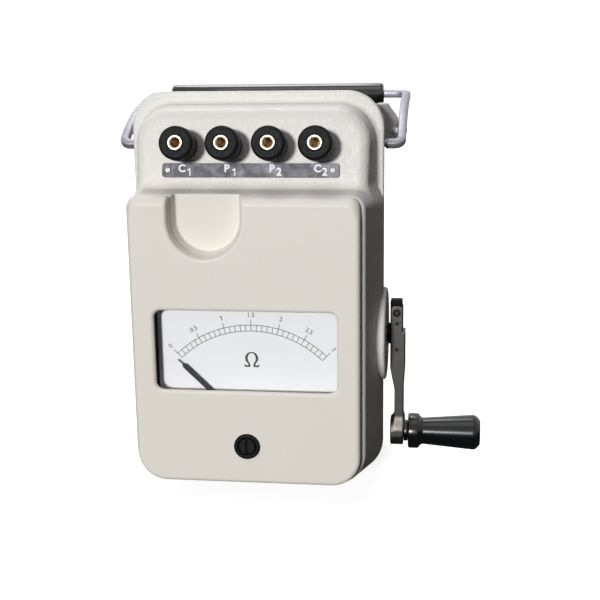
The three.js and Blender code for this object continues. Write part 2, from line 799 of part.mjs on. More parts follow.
function buildAdjuster() {
  const bore = adjusterScrewRadius + runningGap;
  const bush = [
    [bore, -adjusterFlangeProud], [adjusterFlangeRadius, -adjusterFlangeProud],
    [adjusterFlangeRadius, -fitGap], [adjusterNeckRadius, -fitGap],
    [adjusterNeckRadius, coverThickness], [bore, coverThickness],
    [bore, -adjusterFlangeProud],
  ];
  const front = -adjusterFlangeProud + adjusterScrewRecess;
  const slot = box(-adjusterSlotWidth / 2, adjusterSlotWidth / 2, front - cutOverrun,
    front + adjusterSlotDepth, adjusterZ - adjusterScrewRadius - cutOverrun,
    adjusterZ + adjusterScrewRadius + cutOverrun);
  add('adjuster_bush', turnedTowardRear(bush, 0, 0, adjusterZ), finishes.blackPlastic);
  add('zero_adjuster', cut(turnedTowardRear(rod(adjusterScrewRadius, adjusterScrewLength),
    0, front, adjusterZ), slot), finishes.blackPlastic);
}

// Terminals: a collar on the panel, a stud through it with a plug socket, and a knob that screws on the stud

function buildTerminals() {
  const frame = panelFrame();
  const knobStart = terminalCollarLength + 2 * fitGap;
  const studEnd = knobStart + terminalKnobLength + terminalStudProud;
  const bore = terminalStudRadius + runningGap;
  terminalNames.forEach((name, i) => {
    const at = [terminalX[i], terminalRise, 0];
    const collar = turned(tube(bore, terminalCollarRadius, terminalCollarLength)).translate([0, 0, fitGap]);
    const knobEnd = knobStart + terminalKnobLength;
    const knob = turned([
      [bore, knobStart], [terminalKnobRadius - terminalKnobEdge / 2, knobStart],
      [terminalKnobRadius, knobStart + terminalKnobEdge / 2],
      [terminalKnobRadius, knobEnd - terminalKnobEdge],
      [terminalKnobRadius - terminalKnobEdge, knobEnd], [bore, knobEnd], [bore, knobStart],
    ]);
    const stud = turned([
      [0, -terminalStudInside], [terminalStudRadius, -terminalStudInside], [terminalStudRadius, studEnd],
      [terminalSocketRadius, studEnd], [terminalSocketRadius, studEnd - terminalSocketDepth],
      [0, studEnd - terminalSocketDepth],
    ]);
    add(`terminal_collar_${name}`, collar.translate(at), finishes.blackPlastic, frame);
    add(`terminal_stud_${name}`, stud.translate(at), finishes.nickel, frame);
    add(`terminal_knob_${name}`, knob.translate(at), finishes.blackPlastic, frame);
  });
  return frame;
}

function buildLabel() {
  const frame = panelFrame();
  const outline = roundedRectangle(-labelHalfWidth, labelHalfWidth, -labelHeight / 2, labelHeight / 2,
    labelCornerRadius);
  const holes = [-labelScrewX, labelScrewX].map((x) => turned(rod(labelScrewShankRadius + fitGap,
    labelThickness + 2 * cutOverrun), smallSegments).translate([x, 0, -cutOverrun + fitGap]));
  add('label_plate', cut(alongZ(outline, fitGap, fitGap + labelThickness), ...holes), finishes.plate, frame);
  [['left', -labelScrewX], ['right', labelScrewX]].forEach(([side, x]) => {
    const seat = labelThickness + 2 * fitGap;
    const screw = turned([
      [0, -labelScrewShankLength], [labelScrewShankRadius, -labelScrewShankLength],
      [labelScrewShankRadius, seat], [labelScrewRadius, seat],
      [labelScrewRadius, seat + labelScrewHeadHeight],
      [0, seat + labelScrewHeadHeight],
    ], smallSegments);
    add(`label_screw_${side}`, screw.translate([x, 0, 0]), finishes.nickel, frame);
  });
  return frame;
}

// Rear case with its screw columns, handle ears and handle stops

function rearSections() {
  return [
    section(rearFrontY, rimHalfWidth - fitGap, footHeight, rimTop - fitGap,
      rimTopCornerRadius, rimTopCornerRadius),
    section(rearY - rearEdgeBevel, rearHalfWidth, footHeight, rearTop, rearCornerRadius, rearCornerRadius),
    section(rearY, rearHalfWidth - rearEdgeBevel, footHeight + rearEdgeBevel, rearTop - rearEdgeBevel,
      rearCornerRadius, rearCornerRadius),
  ];
}

const handleCurve = new THREE.QuadraticBezierCurve(
  new THREE.Vector2(handlePivotY, handlePivotZ),
  new THREE.Vector2(handleBowY, handleBowZ),
  new THREE.Vector2(handleGripY, handleGripZ));

function besideHandle(share, distance) {
  const point = handleCurve.getPoint(share);
  const tangent = handleCurve.getTangent(share);
  return [point.x - tangent.y * distance, point.y + tangent.x * distance];
}

function handleEar(side) {
  const earOuter = handleHalfSpan - handleStripThickness - fitGap;
  const front = handlePivotY + handleStripThickness / 2 + fitGap;
  const bottom = handlePivotZ + earBottomRise;
  const points = [[earRootX, bottom], [earOuter, bottom], [earOuter, earChamferOuterZ],
    [earChamferInner, earTop], [earRootX, earTop - (earChamferInner - earRootX) / 2]];
  const outline = polygon(points.map(([x, z]) => [side * x, z]));
  return alongY(outline, front, front + earThickness);
}

function handleStop(side) {
  const [y, z] = besideHandle(stopShare, -handleStripWidth / 2 - fitGap - stopRadius);
  const start = rearHalfWidth - wall;
  const length = handleHalfSpan - start;
  return turnedAlongX(rod(stopRadius, length), side > 0 ? start : -start - length, y, z, smallSegments);
}

function handlePinBoss(side) {
  const radius = handlePinRadius + wall;
  const start = rearHalfWidth - wall - handlePinLength;
  const length = rimHalfWidth - start;
  return turnedAlongX(rod(radius, length), side > 0 ? start : -start - length, handlePivotY, handlePivotZ,
    smallSegments);
}

function handlePinHole(side) {
  const length = handlePinLength + rimHalfWidth - rearHalfWidth + wall + cutOverrun;
  const start = rimHalfWidth + cutOverrun - length;
  return turnedAlongX(rod(handlePinRadius + runningGap, length), side > 0 ? start : -start - length,
    handlePivotY, handlePivotZ, smallSegments);
}

function buildRearCase() {
  const outerSections = rearSections();
  const [mouth, back] = outerSections;
  const innerMouth = { ...mouth, y: mouth.y - cutOverrun };
  const innerSections = inset([innerMouth, { ...back, y: rearY - rearWallThickness }], wall);
  const length = rearY - rearFrontY;
  const columns = caseScrewPlaces.map(([, x, z]) =>
    turnedTowardRear(rod(caseColumnRadius, length), x, rearFrontY, z, smallSegments));
  const screwHoles = caseScrewPlaces.map(([, x, z]) => turnedTowardRear(
    rod(caseScrewRadius + fitGap, length + 2 * cutOverrun), x, rearFrontY - cutOverrun, z, smallSegments));
  const outer = loft(outerSections);
  const shell = join(cut(outer, loft(innerSections)),
    join(...columns, ...[-1, 1].map(handlePinBoss)).intersect(outer),
    ...[-1, 1].flatMap((side) => [handleEar(side), handleStop(side)]));
  return cut(shell, bearingHousingSpace(), ...screwHoles, ...[-1, 1].map(handlePinHole));
}

function buildCaseScrews() {
  const front = jointY - bodyColumnLength + cutOverrun;
  caseScrewPlaces.forEach(([name, x, z]) => {
    const shank = rearY + fitGap - front;
    const profile = [
      [0, 0], [caseScrewRadius, 0], [caseScrewRadius, shank], [caseScrewHeadRadius, shank],
      [caseScrewHeadRadius, shank + caseScrewHeadHeight], [0, shank + caseScrewHeadHeight],
    ];
    add(name, turnedTowardRear(profile, x, front, z, smallSegments), finishes.steel);
  });
}

function buildFeet() {
  const places = [
    ['foot_front_left', -footX, frontFootY], ['foot_front_right', footX, frontFootY],
    ['foot_rear_left', -footX, rearFootY], ['foot_rear_right', footX, rearFootY],
  ];
  const height = footHeight - fitGap;
  places.forEach(([name, x, y]) => {
    const profile = [[0, 0], [footRadius - footDraft, 0], [footRadius, height], [0, height]];
    add(name, turned(profile).translate([x, y, 0]), finishes.rubber);
  });
}

// Crank: shaft, hub and lug, folding arm, spindle and grip

function buildBearingHousing() {
  const start = frameOuterX + framePlateThickness + fitGap;
  const length = housingOuterX - start;
  const bore = crankShaftRadius + runningGap;
  return turnedAlongX([
    [bore, 0], [bearingHousingRadius, 0], [bearingHousingRadius, length - bearingHousingEdge],
    [bearingHousingRadius - bearingHousingEdge, length], [bore, length], [bore, 0],
  ], start, crankY, crankZ);
}

function foldPinHole() {
  const length = 2 * (crankLugHalfWidthY + armCheekThickness + cutOverrun);
  return turnedTowardRear(rod(foldPinRadius + runningGap, length), armPlaneX + crankLugThicknessX / 2,
    crankY - length / 2, foldPinZ, smallSegments);
}

function buildCrankLug() {
  const hub = turnedAlongX(tube(crankShaftRadius + fitGap, crankHubRadius, crankHubLength + fitGap / 2),
    housingOuterX + fitGap, crankY, crankZ);
  const lug = box(armPlaneX - fitGap, armPlaneX + crankLugThicknessX, crankY - crankLugHalfWidthY,
    crankY + crankLugHalfWidthY, crankZ - crankLugBelow, crankZ + crankLugAbove);
  return cut(join(hub, lug), foldPinHole());
}

function buildCrankArm() {
  const pinX = armPlaneX + crankLugThicknessX / 2;
  const waistX = armPlaneX + armWaistInnerStep;
  const outerX = armOuterX + armWebThickness;
  const tipX = outerX - armTipBarDrop;
  const cheek = polygon([
    [waistX, gripZ], [tipX, gripZ], [tipX, armWaistZ], [outerX, armTaperZ], [outerX, armWebTop],
    [armOuterX, armWebTop], [armOuterX, foldPinZ], [pinX + armCheekTopRadius * Math.SQRT1_2, foldPinZ],
    [pinX, foldPinZ + armCheekTopRadius], [pinX - armCheekTopRadius * Math.SQRT1_2, foldPinZ],
    [armPlaneX, armWebTop], [armPlaneX, armTaperZ], [waistX, armWaistZ],
  ]);
  const inner = crankLugHalfWidthY + fitGap;
  const outer = inner + armCheekThickness;
  const cheeks = [[-outer, -inner], [inner, outer]].map(([from, to]) =>
    alongY(cheek, crankY + from, crankY + to));
  const web = box(armOuterX, outerX, crankY - outer, crankY + outer, armTaperZ, armWebTop);
  const bar = box(waistX, tipX, crankY - inner, crankY + inner, gripZ,
    crankZ - crankLugBelow - armWebThickness);
  const eye = turnedAlongX(rod(armEndRadius, tipX - armPlaneX), armPlaneX, crankY, gripZ);
  const spindleHole = turnedAlongX(rod(spindleRadius + fitGap, outerX), armPlaneX - cutOverrun, crankY, gripZ,
    smallSegments);
  return cut(join(...cheeks, web, bar, eye), spindleHole, foldPinHole());
}

function buildFoldPin() {
  const half = crankLugHalfWidthY + fitGap + armCheekThickness + foldPinHeadProud;
  return turnedTowardRear(rod(foldPinRadius, 2 * half), armPlaneX + crankLugThicknessX / 2,
    crankY - half, foldPinZ, smallSegments);
}

const armTipX = armOuterX + armWebThickness - armTipBarDrop;
const gripStartX = armTipX + fitGap + spindleCollarLength + fitGap;

function buildSpindle() {
  const collarStart = armTipX + fitGap - armPlaneX;
  const collarEnd = collarStart + spindleCollarLength;
  const end = gripStartX + gripLength - spindleEndShort - armPlaneX;
  return turnedAlongX([
    [0, 0], [spindleRadius, 0], [spindleRadius, collarStart], [spindleCollarRadius, collarStart],
    [spindleCollarRadius, collarEnd], [spindleRadius, collarEnd], [spindleRadius, end], [0, end],
  ], armPlaneX, crankY, gripZ);
}

function buildGrip() {
  const bore = spindleRadius + runningGap;
  const boreEnd = gripLength - spindleEndShort + runningGap;
  return turnedAlongX([
    [bore, 0], [gripFlangeRadius, 0], [gripFlangeRadius, gripFlangeLength], [gripNeckRadius, gripNeckStart],
    [gripEndRadius, gripLength - gripEndRound],
    [gripEndRadius - gripEndRound / 2, gripLength - gripEndRound / 3],
    [gripEndRadius - gripEndRound, gripLength], [0, gripLength], [0, boreEnd], [bore, boreEnd], [bore, 0],
  ], gripStartX, crankY, gripZ);
}

// Gear train

const toothShares = { tip: 0.11, pitch: 0.2, root: 0.3 };
const addendumShare = 0.72;
const dedendumShare = 1.05;

// A toothed outline round (0, 0) whose first tooth points along the given angle
function gearOutline(teeth, phase) {
  const pitchRadius = gearModule * teeth / 2;
  const tipRadius = pitchRadius + gearModule * addendumShare;
  const rootRadius = pitchRadius - gearModule * dedendumShare;
  const step = 2 * Math.PI / teeth;
  const corners = [
    [-toothShares.root, rootRadius], [-toothShares.tip, tipRadius],
    [toothShares.tip, tipRadius], [toothShares.root, rootRadius],
  ];
  const points = Array.from({ length: teeth }, (_, i) => corners.map(([share, radius]) => {
    const angle = phase + (i + share) * step;
    return [radius * Math.cos(angle), radius * Math.sin(angle)];
  })).flat();
  return points;
}

function gear(teeth, phase, x, y, z) {
  const points = gearOutline(teeth, phase).map(([a, b]) => [a + y, b + z]);
  return alongX(polygon(points), x, x + gearThickness);
}

function meshingPhase(angle, teeth) {
  return angle + Math.PI + Math.PI / teeth;
}

function buildDriveGear() {
  const bore = turnedAlongX(rod(crankShaftRadius + fitGap, gearThickness + 2 * cutOverrun),
    drivePlaneX - cutOverrun, crankY, crankZ);
  return cut(gear(driveTeeth, trainAngle, drivePlaneX, crankY, crankZ), bore);
}

function buildCrankShaft() {
  const start = frameInnerX + fitGap;
  const end = armPlaneX - 2 * fitGap;
  return turnedAlongX(rod(crankShaftRadius, end - start), start, crankY, crankZ);
}

function buildSecondArbor() {
  const start = frameInnerX + fitGap;
  const length = frameOuterX + framePlateThickness - fitGap - start;
  return join(
    turnedAlongX(rod(arborRadius, length), start, secondY, secondZ, smallSegments),
    gear(pinionTeeth, meshingPhase(trainAngle, pinionTeeth), drivePlaneX, secondY, secondZ));
}

function buildSecondGear() {
  const bore = turnedAlongX(rod(arborRadius + fitGap, gearThickness + 2 * cutOverrun),
    secondPlaneX - cutOverrun, secondY, secondZ, smallSegments);
  return cut(gear(secondTeeth, rotorAngle, secondPlaneX, secondY, secondZ), bore);
}

const generatorEndX = frameInnerX - fitGap;
const generatorStartX = generatorEndX - statorLength;

function buildRotorShaft() {
  const start = generatorStartX - fitGap - endBracketThickness;
  const length = frameOuterX + framePlateThickness - fitGap - start;
  return join(
    turnedAlongX(rod(rotorShaftRadius, length), start, rotorY, rotorZ, smallSegments),
    gear(rotorTeeth, meshingPhase(rotorAngle, rotorTeeth), secondPlaneX, rotorY, rotorZ));
}

function buildGearFrame() {
  const back = rearY - rearWallThickness - fitGap;
  const outline = polygon([
    [crankY - frameMargin, crankZ - frameMargin], [rotorY - frameMargin, rotorZ - frameMargin],
    [rotorY + frameMargin, rotorZ - frameMargin], [back, frameBaseBottom], [back, frameBaseTop],
    [crankY + frameMargin, frameBaseTop], [crankY - frameMargin, crankZ + frameMargin],
  ]);
  const plates = [frameInnerX, frameOuterX].map((x) => alongX(outline, x, x + framePlateThickness));
  const base = box(frameInnerX, frameOuterX + framePlateThickness, back - framePlateThickness, back,
    frameBaseBottom, frameBaseTop);
  const hole = (radius, y, z) => turnedAlongX(rod(radius + runningGap, frameOuterX - frameInnerX +
    framePlateThickness + 2 * cutOverrun), frameInnerX - cutOverrun, y, z, smallSegments);
  return cut(join(...plates, base), hole(crankShaftRadius, crankY, crankZ),
    hole(arborRadius, secondY, secondZ), hole(rotorShaftRadius, rotorY, rotorZ));
}

function buildGenerator() {
  const winding = statorLength - 2 * windingEndRecess;
  const rotorLength = statorLength - 2 * rotorEndGap;
  const at = [rotorY, rotorZ];
  add('stator_core', turnedAlongX(tube(statorInnerRadius, statorOuterRadius, statorLength),
    generatorStartX, ...at), finishes.steel);
  add('stator_winding', turnedAlongX(tube(windingInnerRadius, statorInnerRadius - fitGap, winding),
    generatorStartX + windingEndRecess, ...at), finishes.copper);
  add('rotor_magnet', turnedAlongX(tube(rotorShaftRadius + fitGap, rotorRadius, rotorLength),
    generatorStartX + rotorEndGap, ...at), finishes.magnet);
  add('rotor_shaft', buildRotorShaft(), finishes.steel);
  add('generator_end_bracket', turnedAlongX(tube(rotorShaftRadius + runningGap, statorOuterRadius,
    endBracketThickness), generatorStartX - fitGap - endBracketThickness, ...at), finishes.steel);
}

function buildDrive() {
  add('gear_frame', buildGearFrame(), finishes.steel);
  add('drive_gear', buildDriveGear(), finishes.brass);
  add('second_arbor', buildSecondArbor(), finishes.steel);
  add('second_gear', buildSecondGear(), finishes.brass);
  buildGenerator();
}

function buildCrank() {
  add('bearing_housing', buildBearingHousing(), finishes.enamel);
  add('crank_shaft', buildCrankShaft(), finishes.steel);
  add('crank_hub', buildCrankLug(), finishes.blackPlastic);
  add('crank_arm', buildCrankArm(), finishes.steel);
  add('fold_pin', buildFoldPin(), finishes.steel);
  add('grip_spindle', buildSpindle(), finishes.steel);
  add('crank_grip', buildGrip(), finishes.blackPlastic);
}

// Measuring board with its transformer

function buildBoard() {
  add('measuring_board', box(-boardHalfWidth, boardHalfWidth, boardY, boardY + boardThickness,
    boardBottom, boardTop), finishes.board);
  const middle = (boardBottom + boardTop) / 2;
  const front = boardY + boardThickness + fitGap;
  add('transformer', box(-transformerWidth / 2, transformerWidth / 2, front, front + transformerDepth,
    middle - transformerHeight / 2, middle + transformerHeight / 2), finishes.steel);
}

// Carrying handle: bent strip with a cross rod, a grip on the rod and two pivot pins

function handleArm(side) {
  const steps = roundSegments / 2;
  const shares = Array.from({ length: steps + 1 }, (_, i) => i / steps);
  const half = handleStripWidth / 2;
  const outline = polygon([
    ...shares.map((share) => besideHandle(share, -half)),
    ...shares.toReversed().map((share) => besideHandle(share, half)),
  ]);
  const inner = handleHalfSpan - handleStripThickness;
  return side > 0 ? alongX(outline, inner, handleHalfSpan) : alongX(outline, -handleHalfSpan, -inner);
}

function handleFoot(side) {
  const inner = rimHalfWidth + fitGap;
  const half = handleStripThickness / 2;
  const outline = rectangle(handlePivotY - half, handlePivotY + half,
    handlePivotZ - handleStripWidth / 2, handlePivotZ + handleStripWidth / 2);
  return side > 0 ? alongX(outline, inner, handleHalfSpan) : alongX(outline, -handleHalfSpan, -inner);
}

function handlePin(side) {
  const start = rearHalfWidth - wall - handlePinLength + fitGap;
  const length = rimHalfWidth + handleStripThickness - start;
  return turnedAlongX(rod(handlePinRadius - fitGap, length), side > 0 ? start : -start - length,
    handlePivotY, handlePivotZ, smallSegments);
}

function buildHandle() {
  const crossRod = turnedAlongX(rod(handleRodRadius, 2 * handleHalfSpan), -handleHalfSpan,
    handleGripY, handleGripZ, smallSegments);
  const sides = [-1, 1].flatMap((side) => [handleArm(side), handleFoot(side), handlePin(side)]);
  const frame = join(crossRod, ...sides);
  add('handle_frame', frame, finishes.enamel);
  add('handle_grip', turnedAlongX(tube(handleRodRadius + fitGap, handleGripRadius, 2 * handleGripHalfLength),
    -handleGripHalfLength, handleGripY, handleGripZ), finishes.blackPlastic);
}

// Assembly

add('front_body', buildFrontBody(), finishes.enamel);
add('front_cover', buildCover(), finishes.enamel);
add('rear_case', buildRearCase(), finishes.enamel);
buildMeter();
buildAdjuster();
tester.add(buildTerminals());
tester.add(buildLabel());
buildCaseScrews();
buildFeet();
buildCrank();
buildDrive();
buildBoard();
buildHandle();

// The origin is put under the middle of the whole tester, on the floor.
tester.updateMatrixWorld(true);
const bounds = new THREE.Box3().setFromObject(tester);
const centre = bounds.getCenter(new THREE.Vector3());
tester.position.set(-centre.x, -centre.y, -bounds.min.z);

export default tester;
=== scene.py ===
"""Looks of a hand-cranked earth tester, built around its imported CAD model."""
import json
import math

import bmesh
import bpy
import numpy as np
from mathutils import Matrix, Vector


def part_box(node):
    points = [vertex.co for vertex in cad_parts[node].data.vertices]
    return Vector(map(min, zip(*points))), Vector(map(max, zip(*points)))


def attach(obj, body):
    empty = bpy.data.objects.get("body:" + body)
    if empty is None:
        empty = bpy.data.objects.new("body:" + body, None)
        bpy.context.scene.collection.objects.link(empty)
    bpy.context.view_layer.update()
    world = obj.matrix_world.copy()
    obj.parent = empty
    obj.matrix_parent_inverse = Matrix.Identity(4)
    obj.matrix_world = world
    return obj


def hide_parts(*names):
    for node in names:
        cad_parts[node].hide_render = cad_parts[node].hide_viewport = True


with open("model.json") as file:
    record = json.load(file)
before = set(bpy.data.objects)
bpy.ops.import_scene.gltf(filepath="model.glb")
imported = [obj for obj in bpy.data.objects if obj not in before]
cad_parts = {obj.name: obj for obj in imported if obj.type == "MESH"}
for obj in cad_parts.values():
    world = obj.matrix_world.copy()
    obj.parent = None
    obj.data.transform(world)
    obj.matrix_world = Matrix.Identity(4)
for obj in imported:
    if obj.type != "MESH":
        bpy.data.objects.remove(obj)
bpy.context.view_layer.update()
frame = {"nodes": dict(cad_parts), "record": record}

MM = 0.001

# Case coordinates: millimetres, x from the middle of the cover, y back from its face, z up from the floor
cover_low, cover_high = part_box("front_cover")
ORIGIN = Vector(((cover_low.x + cover_high.x) / 2, cover_low.y, 0.0))


def case_point(x, y, z):
    """A point of the case coordinates, in the row frame."""
    return ORIGIN + Vector((x, y, z)) * MM


def case_box(node):
    """The lowest and highest corners of a CAD node, in case coordinates."""
    low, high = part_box(node)
    return np.array((low - ORIGIN) / MM), np.array((high - ORIGIN) / MM)


def node_middle(node):
    low, high = case_box(node)
    return (low + high) / 2


def link(name, data):
    piece = bpy.data.objects.new(name, data)
    bpy.context.scene.collection.objects.link(piece)
    return piece


def direction_from(turn, rise):
    """A direction away from the tester, by its turn from straight ahead and its rise."""
    return Vector((math.sin(turn) * math.cos(rise), -math.cos(turn) * math.cos(rise), math.sin(rise)))


# Camera, fitted to the photograph's edges
PICTURE_WIDTH = 600
FOCAL_PIXELS = 1100
SENSOR_WIDTH = 36
CLIP_START = 0.01
CAMERA_TURN = math.radians(7.5656)
CAMERA_TILT = math.radians(13.1477)
CAMERA_ROLL = math.radians(-0.7756)
CAMERA_AT = (90.89, -486.13, 218.76)


def build_camera():
    back = direction_from(CAMERA_TURN, CAMERA_TILT)
    level = Vector((math.cos(CAMERA_TURN), math.sin(CAMERA_TURN), 0))
    upright = back.cross(level)
    right = level * math.cos(CAMERA_ROLL) + upright * math.sin(CAMERA_ROLL)
    up = upright * math.cos(CAMERA_ROLL) - level * math.sin(CAMERA_ROLL)
    data = bpy.data.cameras.new("camera")
    data.sensor_width = SENSOR_WIDTH
    data.lens = FOCAL_PIXELS / PICTURE_WIDTH * SENSOR_WIDTH
    data.clip_start = CLIP_START
    camera = link("camera", data)
    turn = Matrix((right, up, back)).transposed().to_4x4()
    camera.matrix_world = Matrix.Translation(case_point(*CAMERA_AT)) @ turn
    bpy.context.scene.camera = camera


# Shapes as signed distances, in millimetres

def between(low, high, share):
    return low + (high - low) * share


def rounded_outline(u, v, half, low, high, low_radius, high_radius):
    """Distance to a rounded rectangle that is centred on u = 0 and runs from low to high in v."""
    middle = (low + high) / 2
    radius = np.where(v < middle, low_radius, high_radius)
    across = np.abs(u) - half + radius
    along = np.abs(v - middle) - (high - low) / 2 + radius
    outside = np.hypot(np.maximum(across, 0), np.maximum(along, 0))
    return outside + np.minimum(np.maximum(across, along), 0) - radius


def both(a, b, radius):
    """What two shapes share, with its outer edge rounded."""
    reach = np.hypot(np.maximum(a + radius, 0), np.maximum(b + radius, 0))
    return np.minimum(np.maximum(a, b), -radius) + reach


def either(a, b, radius):
    """Two shapes joined by a fillet."""
    reach = np.hypot(np.maximum(radius - a, 0), np.maximum(radius - b, 0))
    return np.maximum(np.minimum(a, b), radius) - reach


def without(a, b, radius=None):
    """One shape with another cut from it, the cut's edge rounded by a radius."""
    return np.maximum(a, -b) if radius is None else both(a, -b, radius)


def round_bar(u, v, centre_u, centre_v, radius):
    return np.hypot(u - centre_u, v - centre_v) - radius


# Meshes from distances

def surface_net(field, axes):
    """One point in each cell that the surface crosses, and the quads that join these points."""
    cells = np.array(field.shape) - 1
    total = np.zeros((cells.prod(), 3))
    hits = np.zeros(cells.prod())
    quads = []
    for axis in range(3):
        near, far = [slice(None)] * 3, [slice(None)] * 3
        near[axis], far[axis] = slice(0, -1), slice(1, None)
        here, there = field[tuple(near)], field[tuple(far)]
        crossed = (here < 0) != (there < 0)
        at = np.argwhere(crossed)
        start, end = here[crossed], there[crossed]
        points = np.stack([axes[k][at[:, k]] for k in range(3)], axis=1)
        step = axes[axis][at[:, axis] + 1] - axes[axis][at[:, axis]]
        points[:, axis] += step * start / (start - end)
        second, third = (axis + 1) % 3, (axis + 2) % 3
        ring = []
        for back_second, back_third in ((1, 1), (0, 1), (0, 0), (1, 0)):
            cell = at.copy()
            cell[:, second] -= back_second
            cell[:, third] -= back_third
            flat = np.ravel_multi_index(cell.T, cells)
            ring.append(flat)
            hits += np.bincount(flat, minlength=hits.size)
            for k in range(3):
                total[:, k] += np.bincount(flat, weights=points[:, k], minlength=hits.size)
        ring = np.stack(ring, axis=1)
        inward = start >= 0
        ring[inward] = ring[inward][:, ::-1]
        quads.append(ring)
    used = np.flatnonzero(hits)
    number = np.zeros(hits.size, dtype=int)
    number[used] = np.arange(used.size)
    return total[used] / hits[used, None], number[np.concatenate(quads)]


GRADIENT_STEP = 0.04
SETTLING_ROUNDS = 3
LAST_SETTLING = 0.25
GRID_MARGIN = 2
LEAST_SLOPE = 0.05
LEAST_NORMAL = 1e-6


def slope_of(shape, points):
    """The gradient of a distance at each point."""
    slope = np.empty_like(points)
    for k in range(3):
        shift = np.zeros(3)
        shift[k] = GRADIENT_STEP
        ahead = shape(*(points + shift).T)
        behind = shape(*(points - shift).T)
        slope[:, k] = (ahead - behind) / (2 * GRADIENT_STEP)
    return slope


def settle(shape, points, limit):
    """Moves points onto the surface, each by no more than a limit in a round."""
    for _ in range(SETTLING_ROUNDS):
        slope = slope_of(shape, points)
        length = np.maximum((slope ** 2).sum(axis=1), LEAST_SLOPE)
        move = (shape(*points.T) / length)[:, None] * slope
        far = np.maximum(np.linalg.norm(move, axis=1) / limit, 1)
        points = points - move / far[:, None]
    return points


def evaluated_mesh(piece):
    """The mesh that a piece's modifiers or characters make."""
    bpy.context.view_layer.update()
    graph = bpy.context.evaluated_depsgraph_get()
    return bpy.data.meshes.new_from_object(piece.evaluated_get(graph))


def apply_modifiers(piece):
    mesh = evaluated_mesh(piece)
    piece.modifiers.clear()
    piece.data = mesh


def casting(name, shape, low, high, step, keep_share, looks, place=Matrix.Identity(4)):
    """A piece with the surface of a distance shape, its flats thinned and its normals exact."""
    margin = GRID_MARGIN * step
    axes = [np.arange(low[k] - margin, high[k] + margin + step, step) for k in range(3)]
    points, quads = surface_net(shape(*np.meshgrid(*axes, indexing="ij")), axes)
    points = settle(shape, points, step)
    mesh = bpy.data.meshes.new(name)
    mesh.from_pydata(points.tolist(), [], quads.tolist())
    piece = link(name, mesh)
    piece.modifiers.new("thin", "DECIMATE").ratio = keep_share
    apply_modifiers(piece)
    points = np.empty(len(piece.data.vertices) * 3)
    piece.data.vertices.foreach_get("co", points)
    points = settle(shape, points.reshape(-1, 3), LAST_SETTLING * step)
    normals = slope_of(shape, points)
    normals /= np.maximum(np.linalg.norm(normals, axis=1), LEAST_NORMAL)[:, None]
    turn = np.array(place.to_3x3())
    placed = (points @ turn.T + np.array(place.translation)) * MM + np.array(ORIGIN)
    piece.data.vertices.foreach_set("co", placed.ravel())
    piece.data.update()
    piece.data.shade_smooth()
    piece.data.normals_split_custom_set_from_vertices((normals @ turn.T).tolist())
    return dress(piece, *looks)


# Turned and flat pieces

SMOOTH_ANGLE = math.radians(35)
BEVEL_ANGLE = math.radians(30)
BEVEL_SEGMENTS = 3
CORNER_STEPS = 5
LEAST_SIDE = 0.01
MERGE_DISTANCE = 1e-7
NO_FLUTES = (0, 0, 0, 0, 0)


def filleted(points, closed=False):
    """A profile from (u, v, radius) corners, each rounded by its radius."""
    count = len(points)
    result = []
    for i, (u, v, radius) in enumerate(points):
        if radius <= 0 or (not closed and i in (0, count - 1)):
            result.append((u, v))
            continue
        here = Vector((u, v))
        before = (Vector(points[i - 1][:2]) - here).normalized()
        after = (Vector(points[(i + 1) % count][:2]) - here).normalized()
        half = before.angle(after) / 2
        reach = radius / math.tan(half)
        centre = here + (before + after).normalized() * radius / math.sin(half)
        start = here + before * reach - centre
        end = here + after * reach - centre
        turn = math.atan2(start.x * end.y - start.y * end.x, start.dot(end))
        for k in range(CORNER_STEPS + 1):
            angle = turn * k / CORNER_STEPS
            c, s = math.cos(angle), math.sin(angle)
            result.append((centre.x + start.x * c - start.y * s, centre.y + start.x * s + start.y * c))
    return result


def axis_turn(direction):
    """A rotation that takes +Z to a direction, and keeps a sideways axis level."""
    up = Vector(direction).normalized()
    side = Vector((0, 0, 1)).cross(up)
    side = side.normalized() if side.length > LEAST_SIDE else Vector((1, 0, 0))
    return Matrix((side, up.cross(side), up)).transposed().to_4x4()


def skin(build, rings, capped=True):
    """Joins rings of corners by quads, and closes the first and the last ring."""
    for near, far in zip(rings, rings[1:]):
        for i in range(len(near)):
            k = (i + 1) % len(near)
            build.faces.new((near[i], near[k], far[k], far[i]))
    if capped:
        build.faces.new(rings[0])
        build.faces.new(rings[-1])


def finished(name, build):
    """The mesh of a build, its faces turned outward."""
    bmesh.ops.recalc_face_normals(build, faces=build.faces)
    mesh = bpy.data.meshes.new(name)
    build.to_mesh(mesh)
    build.free()
    return mesh


def smoothed(mesh):
    mesh.shade_smooth()
    mesh.set_sharp_from_angle(angle=SMOOTH_ANGLE)
    return mesh


def flute_cut(flutes, radius, height, angle):
    """How deep flutes cut, from their count, depth, lowest and highest height and least radius."""
    count, depth, low, high, least = flutes
    if radius <= least or not low <= height <= high:
        return 0.0
    return depth * (0.5 - 0.5 * math.cos(count * angle))


def turned(name, profile, centre, direction, segments, looks, flutes=NO_FLUTES):
    """A lathe piece: (radius, height, corner radius) points round an axis through a case point."""
    build = bmesh.new()
    rings = []
    for radius, height in filleted(profile):
        ring = []
        for i in range(segments):
            angle = 2 * math.pi * i / segments
            r = (radius - flute_cut(flutes, radius, height, angle)) * MM
            ring.append(build.verts.new((r * math.cos(angle), r * math.sin(angle), height * MM)))
        rings.append(ring)
    skin(build, rings, capped=False)
    bmesh.ops.remove_doubles(build, verts=build.verts, dist=MERGE_DISTANCE)
    bmesh.ops.dissolve_degenerate(build, dist=MERGE_DISTANCE, edges=build.edges)
    mesh = finished(name, build)
    mesh.transform(Matrix.Translation(case_point(*centre)) @ axis_turn(direction))
    return dress(link(name, smoothed(mesh)), *looks)


